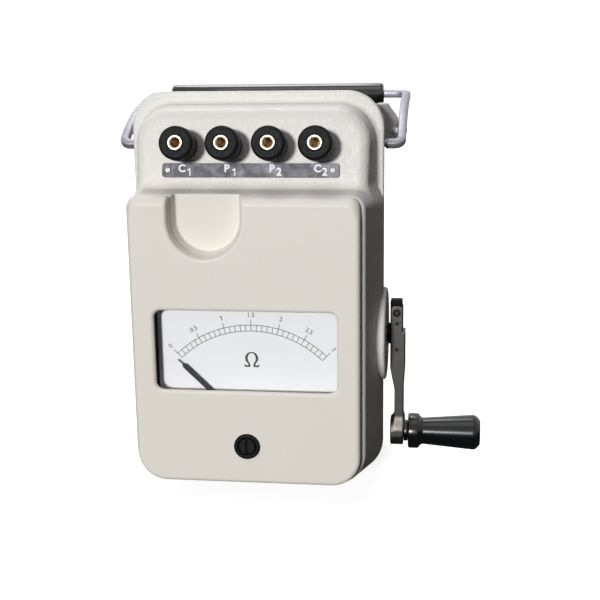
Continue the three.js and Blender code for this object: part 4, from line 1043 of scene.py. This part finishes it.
def omega_outline():
    """The ohm sign: round its outside, then back along its inside."""
    outer = [*OMEGA_FOOT, *bowl(*OMEGA_OUTER_BOWL)]
    inner = [*bowl(*OMEGA_INNER_BOWL), OMEGA_FOOT_TOP]
    left = [(-x, z) for x, z in [*reversed(outer[:-1]), *reversed(inner)]]
    return [(DIAL_X + x, OMEGA_Z + z) for x, z in outer + left + inner[1:]]


def text_mesh(name, text, size, weight):
    """A mesh of some characters, centred, in the XY plane and facing +Z."""
    curve = bpy.data.curves.new(name, "FONT")
    curve.body = text
    curve.size = size * MM
    curve.extrude = PRINT_THICKNESS * MM / 2
    curve.offset = weight * MM
    curve.align_x = "CENTER"
    curve.align_y = "CENTER"
    curve.resolution_u = LETTER_RESOLUTION
    piece = link(name, curve)
    mesh = evaluated_mesh(piece)
    bpy.data.objects.remove(piece)
    return mesh


def one_mesh(name, size):
    """The digit one with a flag, centred, in the XY plane and facing +Z."""
    build = bmesh.new()
    skin(build, [[build.verts.new(Vector((x * size, y * size, level)) * MM) for x, y in ONE_SHARES]
                 for level in (-PRINT_THICKNESS / 2, PRINT_THICKNESS / 2)])
    return finished(name, build)


def lettering(name, text, size, at, up, facing, paint, slot, weight=0.0):
    """Flat characters whose top points along one direction and whose face points along another."""
    mesh = one_mesh(name, size) if text == "1" else text_mesh(name, text, size, weight)
    facing, up = Vector(facing), Vector(up)
    turn = Matrix((up.cross(facing), up, facing)).transposed().to_4x4()
    mesh.transform(Matrix.Translation(case_point(*at)) @ turn)
    return dress(link(name, mesh), paint, slot, "case")


def build_dial():
    face = DIAL_FRONT - PRINT_THICKNESS
    plates("dial_lines", dial_lines(), face, DIAL_FRONT, ("print", "black_plastic", "case"))
    for i, number in enumerate(NUMBERS):
        angle = scale_angle(i / (len(NUMBERS) - 1))
        x, z = dial_point(NUMBER_RADIUS, angle)
        lettering("dial_number_%d" % i, number, NUMBER_SIZE, (x, face, z),
                  (math.sin(angle), 0, math.cos(angle)), AHEAD, "print", "black_plastic")
    plates("dial_omega", [omega_outline()], face, DIAL_FRONT, ("omega", "black_plastic", "case"))


def build_needle():
    low, high = case_box("pointer")
    right = [(NEEDLE_HALF, -NEEDLE_TAIL), (NEEDLE_HALF, NEEDLE_BLADE - NEEDLE_SHOULDER),
             (NEEDLE_TIP_HALF, NEEDLE_BLADE), (NEEDLE_TIP_HALF, NEEDLE_LENGTH)]
    c, s = math.cos(NEEDLE_ANGLE), math.sin(NEEDLE_ANGLE)
    outline = [(DIAL_X + u * c - v * s, DIAL_Z + u * s + v * c)
               for u, v in right + [(-u, v) for u, v in reversed(right)]]
    plates("needle", [outline], low[1], high[1], ("needle", "black_plastic", "meter_pointer", "pointer"),
           NEEDLE_BEVEL)


def build_glass():
    rise = (GLASS_HIGH[2] - GLASS_LOW[2]) / 2
    outline = rounded_loop((GLASS_HIGH[0] - GLASS_LOW[0]) / 2, rise, WINDOW_CORNER, GLASS_LOW[2] + rise)
    plates("window_pane", [outline], GLASS_LOW[1], GLASS_HIGH[1], ("glass", "window", "case", "window_glass"),
           GLASS_BEVEL)


ADJUSTER_RADIUS = 6.25
ADJUSTER_PROUD = 1.3
ADJUSTER_EDGE = 0.7
ADJUSTER_NECK = 5.0
ADJUSTER_NECK_EDGE = 0.2
ADJUSTER_LIP = 0.5
ADJUSTER_LIP_EDGE = 0.15
ADJUSTER_LIP_FOOT = 0.75
ADJUSTER_SEGMENTS = 96
ADJUSTER_SCREW = 3.9
ADJUSTER_SLOT = (1.1, 1.1)
ADJUSTER_SHANK = (ADJUSTER_SCREW - 0.1, 0.1)
ADJUSTER_SCREW_EDGE = 0.35
ADJUSTER_STEP = 0.3


def build_adjuster():
    back = -case_box("adjuster_bush")[1][1]
    bore = ADJUSTER_SCREW + FIT
    ring = [(bore, back, 0), (ADJUSTER_NECK, back, ADJUSTER_NECK_EDGE),
            (ADJUSTER_NECK, -ADJUSTER_NECK_EDGE, 0), (ADJUSTER_RADIUS, FIT / 2, 0),
            (ADJUSTER_RADIUS, ADJUSTER_PROUD, ADJUSTER_EDGE),
            (bore + ADJUSTER_LIP, ADJUSTER_PROUD, ADJUSTER_LIP_EDGE), (bore, ADJUSTER_LIP_FOOT, 0)]
    turned("adjuster_ring", ring + ring[:1], (0, 0, node_middle("adjuster_bush")[2]), AHEAD,
           ADJUSTER_SEGMENTS, ("knob", "black_plastic", "case", "adjuster_bush"))
    low, high = case_box("zero_adjuster")
    sizes = (ADJUSTER_SCREW, high[1] - low[1], *ADJUSTER_SLOT, *ADJUSTER_SHANK, ADJUSTER_SCREW_EDGE)
    at = (0, high[1], (low[2] + high[2]) / 2)
    piece = screw("adjuster_screw", at, AHEAD, 0, sizes, ADJUSTER_STEP, "adjuster", "zero_adjuster",
                  "adjuster")


# Terminals and their label, on the sloping panel

TERMINALS = {"c1": "C1", "p1": "P1", "p2": "P2", "c2": "C2"}
PANEL_OUT = Vector((0, -math.cos(PANEL_LEAN), math.sin(PANEL_LEAN)))
PANEL_UP = Vector((0, math.sin(PANEL_LEAN), math.cos(PANEL_LEAN)))
TERMINAL_SEGMENTS = 216
COLLAR_RADIUS = 7.1
COLLAR_LENGTH = 5.8
COLLAR_EDGES = (0.4, 0.5)
KNOB_RADIUS = 8
KNOB_START = 6.4
KNOB_END = 16.9
KNOB_FOOT = (0.2, 2.2)
KNOB_FOOT_EDGE = 0.5
KNOB_HEAD = (0.1, 3.4)
KNOB_HEAD_EDGE = 1.5
KNOB_LINE_EDGE = 0.3
KNOB_DISH = (1.2, 0.25)
KNOB_DISH_EDGE = 0.15

# Flutes: count, depth, lowest and highest height, and the least radius that they cut
COLLAR_FLUTES = (54, 0.45, 1.2, COLLAR_LENGTH - 0.6, COLLAR_RADIUS - 0.2)
KNOB_FLUTES = (36, 0.35, KNOB_START + 2.4, KNOB_END - 3.6, KNOB_RADIUS - 0.4)

STUD_RADIUS = 3.55
STUD_END = 17.3
STUD_INSIDE = 13
STUD_EDGES = (0.5, 0.45)
STUD_SEGMENTS = 96
SOCKET_RADIUS = 2.15
SOCKET_DEPTH = 14
SOCKET_MOUTH = (0.25, 0.5)
SOCKET_EDGE = 0.1
SOCKET_FLOOR_EDGE = 0.3
SOCKET_SEGMENTS = 64
LINER_WALL = 0.4
LINER_MOUTH = (0.55, 0.75)
LABEL_THICKNESS = 0.8
LABEL_HALF_HEIGHT = 3.35
LABEL_CORNER = 1.4
LABEL_BEVEL = 0.15
LETTER_SIZE = 4.9
LETTER_WEIGHT = 0.17
LETTER_SHIFTS = (("letter_", -0.3, 0.75), ("digit_", 3.1, -0.85))
STRIP_SCREW_SPINS = {"left": 35, "right": -20}
STRIP_SCREW_SIZES = (1.3, 0.6, 0.35, 0.3, 0.8, 3.4, 0.3)
STRIP_SCREW_STEP = 0.14


def on_panel(x, rise, out):
    """A point over the terminal panel: across, up the slope and out from its face."""
    return Vector((x, PANEL_Y, PANEL_Z)) + PANEL_UP * rise + PANEL_OUT * out


def panel_rise(node):
    return (Vector(node_middle(node)) - Vector((0, PANEL_Y, PANEL_Z))).dot(PANEL_UP)


def build_terminal(key):
    node = "terminal_knob_" + key
    at = on_panel(node_middle(node)[0], panel_rise(node), 0)
    bore = STUD_RADIUS + FIT
    collar_end = FIT + COLLAR_LENGTH
    foot_edge, head_edge = COLLAR_EDGES
    collar = [(bore, FIT, 0), (COLLAR_RADIUS, FIT, foot_edge), (COLLAR_RADIUS, collar_end, head_edge),
              (bore, collar_end, 0)]
    turned("collar_" + key, collar + collar[:1], at, PANEL_OUT, TERMINAL_SEGMENTS,
           ("knob", "black_plastic", "case", "terminal_collar_" + key), COLLAR_FLUTES)
    face = KNOB_END - KNOB_DISH[1]
    knob = [(bore, KNOB_START, 0), (KNOB_RADIUS - KNOB_FOOT[0], KNOB_START, KNOB_FOOT_EDGE),
            (KNOB_RADIUS, KNOB_START + KNOB_FOOT[1], KNOB_LINE_EDGE),
            (KNOB_RADIUS, KNOB_END - KNOB_HEAD[1], KNOB_LINE_EDGE),
            (KNOB_RADIUS - KNOB_HEAD[0], KNOB_END, KNOB_HEAD_EDGE),
            (STUD_RADIUS + KNOB_DISH[0], face, KNOB_LINE_EDGE), (bore, face, KNOB_DISH_EDGE)]
    turned("knob_" + key, knob + knob[:1], at, PANEL_OUT, TERMINAL_SEGMENTS,
           ("knob", "black_plastic", "knob_" + key, node), KNOB_FLUTES)
    floor = STUD_END - SOCKET_DEPTH
    hole = SOCKET_RADIUS + LINER_WALL
    foot_edge, head_edge = STUD_EDGES
    stud = [(0, -STUD_INSIDE, 0), (STUD_RADIUS, -STUD_INSIDE, foot_edge), (STUD_RADIUS, STUD_END, head_edge),
            (hole + SOCKET_MOUTH[0], STUD_END, SOCKET_EDGE), (hole, STUD_END - SOCKET_MOUTH[1], 0),
            (hole, floor - LINER_WALL, 0), (0, floor - LINER_WALL, 0)]
    turned("stud_" + key, stud, at, PANEL_OUT, STUD_SEGMENTS,
           ("nickel", "nickel", "case", "terminal_stud_" + key))
    liner = [(0, floor - LINER_WALL, 0), (hole, floor - LINER_WALL, 0),
             (hole, STUD_END - LINER_MOUTH[0], SOCKET_EDGE),
             (SOCKET_RADIUS, STUD_END - LINER_MOUTH[1], SOCKET_EDGE),
             (SOCKET_RADIUS, floor, SOCKET_FLOOR_EDGE), (0, floor, 0)]
    turned("socket_" + key, liner, at, PANEL_OUT, SOCKET_SEGMENTS, ("brass", "brass", "case"))


def build_label():
    low, high = case_box("label_plate")
    rise = panel_rise("label_plate")
    face = FIT + LABEL_THICKNESS
    outline = rounded_loop((high[0] - low[0]) / 2, LABEL_HALF_HEIGHT, LABEL_CORNER)
    build = bmesh.new()
    skin(build, [[build.verts.new(case_point(*on_panel(x, rise + v, out))) for x, v in outline]
                 for out in (FIT, face)])
    plate = link("designator_strip", finished("designator_strip", build))
    soften(plate, LABEL_BEVEL)
    dress(plate, "label", "label", "case", "label_plate")
    for key, characters in TERMINALS.items():
        x = node_middle("terminal_knob_" + key)[0]
        for character, (prefix, right, up) in zip(characters, LETTER_SHIFTS):
            at = on_panel(x + right, rise + up, face + PRINT_THICKNESS / 2)
            lettering(prefix + key, character, LETTER_SIZE, at, PANEL_UP, PANEL_OUT, "letters", "label",
                      LETTER_WEIGHT)
    for side, spin in STRIP_SCREW_SPINS.items():
        node = "label_screw_" + side
        at = on_panel(node_middle(node)[0], rise, face + FIT)
        piece = screw("strip_screw_" + side, at, PANEL_OUT, spin, STRIP_SCREW_SIZES, STRIP_SCREW_STEP, "case",
                      node, "strip_screw")


# Crank: lug, folding arm, pins, spindle and grip

ARM_LOW, ARM_HIGH = case_box("crank_arm")
HUB_LOW, HUB_HIGH = case_box("crank_hub")
GRIP_LOW, GRIP_HIGH = case_box("crank_grip")
SHAFT_HIGH = case_box("crank_shaft")[1]
SHAFT_RADIUS = SHAFT_HIGH[2] - CRANK_Z
GRIP_Z = node_middle("crank_grip")[2]
PIN_AT = node_middle("fold_pin")
PIN_RADIUS = 1.5
SPINDLE_RADIUS = 2.4
ARM_INNER_X = ARM_LOW[0]
ARM_OUTER_X = ARM_HIGH[0]
ARM_WAIST_X = ARM_INNER_X + 2
ARM_TIP_X = ARM_OUTER_X - 0.6
ARM_EDGE = 0.4
TAPER_Z = CRANK_Z - 18.3
WAIST_Z = CRANK_Z - 28.3
WEB_TOP = CRANK_Z + 1.7
WEB_THICKNESS = 1.2
WEB_EDGE = 0.3
CHEEK_HALF = 5.1
CHEEK_INNER = 3.9
CHEEK_TOP = PIN_AT[2] + 3.6
CHEEK_CORNER = 2.0
CHEEK_EDGE = 0.45
EYE_RADIUS = GRIP_Z - ARM_LOW[2]
EYE_EDGE = 0.6
EYE_FILLET = 3.5
LUG_HALF = 3.6
LUG_START_X = ARM_INNER_X - FIT
LUG_CORNER = 1.0
LUG_EDGE = 0.5
HUB_RADIUS = 5.25
HUB_OVERLAP = 0.5
HUB_EDGE = 0.3
CRANK_STEP = 0.45
ARM_KEEP_SHARE = 0.45
LUG_KEEP_SHARE = 0.4


def fold_pin_hole(x, z):
    return round_bar(x, z, PIN_AT[0], PIN_AT[2], PIN_RADIUS + FIT)


def arm_shape(x, y, z):
    """The folding arm: a strip with cheeks beside the lug, a waist and an eye for the spindle."""
    aside = np.abs(y - CRANK_Y)
    inner = np.interp(z, (WAIST_Z, TAPER_Z), (ARM_WAIST_X, ARM_INNER_X))
    outer = np.interp(z, (WAIST_Z, TAPER_Z), (ARM_TIP_X, ARM_OUTER_X))
    beyond_web = x - ARM_OUTER_X + WEB_THICKNESS
    band = both(both(inner - x, x - outer, ARM_EDGE), np.minimum(z - WEB_TOP, beyond_web), WEB_EDGE)
    side_view = both(band, z - CHEEK_TOP, CHEEK_CORNER)
    solid = both(np.maximum(side_view, GRIP_Z - z), aside - CHEEK_HALF, CHEEK_EDGE)
    lug_room = np.maximum(np.maximum(aside - CHEEK_INNER, beyond_web), HUB_LOW[2] - WEB_THICKNESS - z)
    solid = without(solid, lug_room)
    eye = round_bar(y, z, CRANK_Y, GRIP_Z, EYE_RADIUS)
    eye = both(eye, np.maximum(ARM_INNER_X - x, x - ARM_TIP_X), EYE_EDGE)
    arm = np.maximum(either(solid, eye, EYE_FILLET), np.maximum(aside, GRIP_Z - z) - EYE_RADIUS)
    arm = np.maximum(arm, np.maximum(ARM_INNER_X - x, x - ARM_OUTER_X))
    arm = without(arm, lug_room)
    arm = without(arm, round_bar(y, z, CRANK_Y, GRIP_Z, SPINDLE_RADIUS + FIT))
    return without(arm, fold_pin_hole(x, z))


def lug_shape(x, y, z):
    """The lug that the arm folds on, with the hub that turns on the shaft."""
    lug = both(np.abs(y - CRANK_Y) - LUG_HALF, np.maximum(HUB_LOW[2] - z, z - HUB_HIGH[2]), LUG_CORNER)
    lug = both(lug, np.maximum(LUG_START_X - x, x - HUB_HIGH[0]), LUG_EDGE)
    hub = both(round_bar(y, z, CRANK_Y, CRANK_Z, HUB_RADIUS),
               np.maximum(HUB_LOW[0] - x, x - LUG_START_X - HUB_OVERLAP), HUB_EDGE)
    shaft = np.maximum(round_bar(y, z, CRANK_Y, CRANK_Z, SHAFT_RADIUS + FIT), x - SHAFT_HIGH[0] - FIT)
    return without(without(np.minimum(lug, hub), shaft), fold_pin_hole(x, z))


FOLD_PIN_HEAD = 0.6
FOLD_PIN_TAPER = 0.2
FOLD_PIN_EDGE = 0.3
FOLD_PIN_SEGMENTS = 48

# Rivets on both cheeks, at (x, z)
RIVETS = ((68.7, 81.6), (68.6, 68.2))
RIVET_PROFILE = ((0, 0, 0), (1.0, 0, 0), (1.0, 0.35, 0.1), (0.5, 0.75, 0.3), (0, 0.78, 0))
RIVET_SINK = 0.3
RIVET_SEGMENTS = 32
SPINDLE_EDGES = (0.4, 0.35, 0.5)
SPINDLE_SEGMENTS = 64
GRIP_RADIUS = 8.95
GRIP_MOUTH_EDGE = 0.3
GRIP_FOOT_EDGE = 0.8
GRIP_FLANGE = 5
GRIP_FLANGE_EDGE = 1.0
GRIP_NECK = (6.7, 7, 1.6)
GRIP_SHOULDER = 2.5
GRIP_SHOULDER_EDGE = 3.0
GRIP_CROWN = 2.6
GRIP_CROWN_EDGE = 1.8
GRIP_BORE_SHORT = 2.1
GRIP_SEGMENTS = 128


def build_crank():
    casting("folding_arm", arm_shape, ARM_LOW, ARM_HIGH, CRANK_STEP, ARM_KEEP_SHARE,
            ("steel", "steel", "folding_arm", "crank_arm"))
    casting("crank_lug", lug_shape, HUB_LOW, HUB_HIGH, CRANK_STEP, LUG_KEEP_SHARE,
            ("housing", "black_plastic", "crank", "crank_hub"))
    low, high = case_box("fold_pin")
    length = high[1] - low[1]
    tip = PIN_RADIUS - FOLD_PIN_TAPER
    pin = [(0, 0, 0), (tip, 0, FOLD_PIN_EDGE), (PIN_RADIUS, FOLD_PIN_HEAD, 0),
           (PIN_RADIUS, length - FOLD_PIN_HEAD, 0), (tip, length, FOLD_PIN_EDGE), (0, length, 0)]
    turned("arm_pin", pin, (PIN_AT[0], low[1], PIN_AT[2]), BACK, FOLD_PIN_SEGMENTS,
           ("dark_steel", "steel", "crank", "fold_pin"))
    for i, (x, z) in enumerate(RIVETS):
        for side, name in ((-1, "front"), (1, "rear")):
            at = (x, CRANK_Y + side * (CHEEK_HALF - RIVET_SINK), z)
            turned("rivet_%s_%d" % (name, i), RIVET_PROFILE, at, (0, side, 0), RIVET_SEGMENTS,
                   ("dark_steel", "steel", "folding_arm"))


def build_spindle():
    low, high = case_box("grip_spindle")
    start = ARM_TIP_X + FIT - low[0]
    end = GRIP_LOW[0] - FIT - low[0]
    radius = high[2] - GRIP_Z
    length = high[0] - low[0]
    foot_edge, collar_edge, tip_edge = SPINDLE_EDGES
    profile = [(0, 0, 0), (SPINDLE_RADIUS, 0, foot_edge), (SPINDLE_RADIUS, start, 0),
               (radius, start, collar_edge), (radius, end, collar_edge), (SPINDLE_RADIUS, end, 0),
               (SPINDLE_RADIUS, length, tip_edge), (0, length, 0)]
    turned("spindle", profile, (low[0], CRANK_Y, GRIP_Z), RIGHT, SPINDLE_SEGMENTS,
           ("spindle", "steel", "folding_arm", "grip_spindle"))


def build_grip():
    length = GRIP_HIGH[0] - GRIP_LOW[0]
    bore = SPINDLE_RADIUS + FIT
    floor = length - GRIP_BORE_SHORT
    profile = [(0, floor, 0), (bore, floor, 0), (bore, 0, GRIP_MOUTH_EDGE), (GRIP_RADIUS, 0, GRIP_FOOT_EDGE),
               (GRIP_RADIUS, GRIP_FLANGE, GRIP_FLANGE_EDGE), GRIP_NECK,
               (GRIP_RADIUS, length - GRIP_SHOULDER, GRIP_SHOULDER_EDGE),
               (GRIP_RADIUS - GRIP_CROWN, length, GRIP_CROWN_EDGE), (0, length, 0)]
    turned("grip", profile, (GRIP_LOW[0], CRANK_Y, GRIP_Z), RIGHT, GRIP_SEGMENTS,
           ("grip", "black_plastic", "turning_grip", "crank_grip"))


# Carrying handle: a bent strip that runs through its grip

BEND_RADIUS = 6.5
FOOT_BEND_RADIUS = 3.2
BEND_STEPS = 8
HANDLE_LENGTH = (handle_curve(1)[0] - handle_curve(0)[0]).length
CURVE_SHARES = (0.06, 1 - BEND_RADIUS / HANDLE_LENGTH)
CURVE_STEPS = 24
SECTION_STEPS = 20
SECTION_POWER = 0.5
ACROSS_TRAVEL = 0.9
LEAST_SIDEWAYS = 0.2
WELD_DISTANCE = 1e-6
PIN_STEPS = 24
HANDLE_PIN_X = (48.2, RIM_HALF + STRIP_THICKNESS)
HANDLE_PIN_RADIUS = 1.7
HANDLE_PIN_TAPER = 0.4
SLEEVE_BORE = 2.6
SLEEVE_EDGE = 1.6
SLEEVE_SLIMMING = 0.4
SLEEVE_SLIP = 1.8
SLEEVE_SEGMENTS = 96


def strip_path():
    """Points of the right half of the strip, from its foot to its middle, each with its direction."""
    x = HANDLE_HALF - STRIP_THICKNESS / 2
    start, first = handle_curve(0)
    end, last = handle_curve(1)
    stations = []

    def bend(point, incoming, outgoing, radius):
        incoming, outgoing = Vector(incoming), Vector(outgoing)
        base = Vector((x, point.x, point.y)) - incoming * radius
        for i in range(BEND_STEPS + 1):
            angle = math.pi / 2 * i / BEND_STEPS
            c, s = math.cos(angle), math.sin(angle)
            stations.append((base + incoming * radius * s + outgoing * radius * (1 - c),
                             (incoming * c + outgoing * s).normalized()))

    stations.append((Vector((RIM_HALF + FIT, start.x, start.y)), Vector((1, 0, 0))))
    bend(start, (1, 0, 0), (0, first.x, first.y), FOOT_BEND_RADIUS)
    for i in range(CURVE_STEPS + 1):
        point, travel = handle_curve(between(*CURVE_SHARES, i / CURVE_STEPS))
        stations.append((Vector((x, point.x, point.y)), Vector((0, travel.x, travel.y))))
    bend(end, (0, last.x, last.y), (-1, 0, 0), BEND_RADIUS)
    stations.append((Vector((0, end.x, end.y)), Vector((-1, 0, 0))))
    return stations


def strip_section(place, width, thickness, side):
    """Corners of the strip's section, a rounded rectangle."""
    corners = []
    for i in range(SECTION_STEPS):
        angle = 2 * math.pi * i / SECTION_STEPS
        c, s = math.cos(angle), math.sin(angle)
        u = math.copysign(abs(c) ** SECTION_POWER, c) * STRIP_WIDTH / 2
        v = math.copysign(abs(s) ** SECTION_POWER, s) * STRIP_THICKNESS / 2
        point = place + width * u + thickness * v
        corners.append(case_point(point.x * side, point.y, point.z))
    return corners


def add_strip(build):
    """Both halves of the strip; where it runs across, its section keeps the last width direction."""
    _, first = handle_curve(0)
    for side in (1, -1):
        rings = []
        width = None
        for place, travel in strip_path():
            sideways = Vector((0, -travel.z, travel.y)) if abs(travel.x) < ACROSS_TRAVEL else width
            if sideways is None or sideways.length < LEAST_SIDEWAYS:
                sideways = Vector((0, -first.y, first.x))
            width = (sideways - travel * sideways.dot(travel)).normalized()
            section = strip_section(place, width, travel.cross(width), side)
            rings.append([build.verts.new(corner) for corner in section])
        skin(build, rings, capped=False)
        build.faces.new(rings[0])
    bmesh.ops.remove_doubles(build, verts=build.verts, dist=WELD_DISTANCE)


def add_pins(build):
    """The pivot pins, inward from the strip's feet into the rear case."""
    low, high = HANDLE_PIN_X
    radius = HANDLE_PIN_RADIUS
    stations = ((high, radius), (low + HANDLE_PIN_TAPER, radius), (low, radius - HANDLE_PIN_TAPER))
    turns = [2 * math.pi * i / PIN_STEPS for i in range(PIN_STEPS)]
    for side in (1, -1):
        rings = []
        for x, r in stations:
            circle = [(PIVOT[0] + r * math.cos(turn), PIVOT[1] + r * math.sin(turn)) for turn in turns]
            rings.append([build.verts.new(case_point(side * x, y, z)) for y, z in circle])
        skin(build, rings)


def build_handle():
    build = bmesh.new()
    add_strip(build)
    add_pins(build)
    bow = link("handle_bow", smoothed(finished("handle_bow", build)))
    dress(bow, "bow", "enamel", "handle", "handle_frame")
    low, high = case_box("handle_grip")
    radius = (high[2] - low[2]) / 2 - SLEEVE_SLIMMING
    length = high[0] - low[0]
    profile = [(SLEEVE_BORE, 0, 0), (radius, 0, SLEEVE_EDGE), (radius, length, SLEEVE_EDGE),
               (SLEEVE_BORE, length, 0)]
    turned("grip_sleeve", profile + profile[:1], (low[0] - SLEEVE_SLIP, *GRIP_AXIS), RIGHT, SLEEVE_SEGMENTS,
           ("sleeve", "black_plastic", "handle", "handle_grip"))


# Light, floor and world

LAMP_TARGET = (0, 20, 110)
KEY_TURN = math.radians(-11.3)
KEY_RISE = math.radians(12)
KEY_SPREAD = math.radians(7)
KEY_STRENGTH = 2.66
WORLD_LIGHT = 0.03
WHITE = (1, 1, 1, 1)
FLOOR_SIZE = 8
FLOOR_PALE = srgb(232, 232, 232)
FLOOR_BOUNCE = srgb(88, 88, 88)
FLOOR_LIFT_REACH = (0.25, 1.6)
FLOOR_LIFT = (0.8, 0.95)

# Soft lamps: turn from the front and rise in degrees, then distance and size in metres, then watts
LAMPS = {
    "fill": (-32, 38, 1.6, 0.9, 1.7),
    "top": (-8, 76, 1.3, 0.7, 2.1),
    "rear": (-148, 32, 1.8, 1.2, 5.0),
    "behind": (-165, 57, 1.1, 0.45, 4.6),
}


def lamp(name, kind, turn, rise, distance, power):
    """A lamp that looks at the middle of the tester."""
    away = direction_from(turn, rise)
    data = bpy.data.lights.new(name, kind)
    data.energy = power
    place = Matrix.Translation(case_point(*LAMP_TARGET) + away * distance)
    link(name, data).matrix_world = place @ axis_turn(away)
    return data


def build_lamps():
    """The main light, far off, ahead and a little to the left, then the square soft ones."""
    lamp("key", "SUN", KEY_TURN, KEY_RISE, 1, KEY_STRENGTH).angle = KEY_SPREAD
    for name, (turn, rise, distance, size, power) in LAMPS.items():
        lamp(name, "AREA", math.radians(turn), math.radians(rise), distance, power).size = size


def build_world():
    """White for the camera, glass and metal, and a plain level of light on everything else."""
    world = bpy.data.worlds.new("studio")
    world.use_nodes = True
    tree = world.node_tree
    seen = add_node(tree, "ShaderNodeLightPath", {}, "Is Camera Ray")
    for ray in ("Is Glossy Ray", "Is Transmission Ray"):
        inputs = {0: seen, 1: add_node(tree, "ShaderNodeLightPath", {}, ray)}
        seen = add_node(tree, "ShaderNodeMath", inputs, "Value", operation="MAXIMUM")
    level = add_node(tree, "ShaderNodeMapRange", {"Value": seen, "To Min": WORLD_LIGHT}, "Result")
    background = tree.nodes["Background"].inputs
    feed(tree, background["Color"], WHITE)
    feed(tree, background["Strength"], level)
    bpy.context.scene.world = world


def build_floor():
    """A pale floor that shows white to the camera, apart from the tester's shadow."""
    bpy.ops.mesh.primitive_plane_add(size=FLOOR_SIZE)
    floor = bpy.context.active_object
    floor.name = "floor"
    paint = Paint("floor", FLOOR_BOUNCE, roughness=0.9, specular=0.0)
    camera_ray = paint.node("LightPath", {}, "Is Camera Ray")
    paint.tint(camera_ray, FLOOR_PALE)
    reach = paint.node("VectorMath", {0: paint.place}, "Value", operation="LENGTH")
    lift = paint.ramp(reach, *FLOOR_LIFT_REACH, *FLOOR_LIFT)
    paint.set("Emission Color", WHITE)
    paint.set("Emission Strength", paint.joined("MULTIPLY", lift, camera_ray))
    floor.data.materials.append(paint.material)


scene = bpy.context.scene
scene.view_settings.view_transform = "Standard"
build_camera()
build_world()
build_floor()
build_lamps()
paint_cad_nodes()
build_case()
build_case_screws()
build_feet()
build_dial()
build_needle()
build_glass()
build_adjuster()
for terminal in TERMINALS:
    build_terminal(terminal)
build_label()
build_crank()
build_spindle()
build_grip()
build_handle()
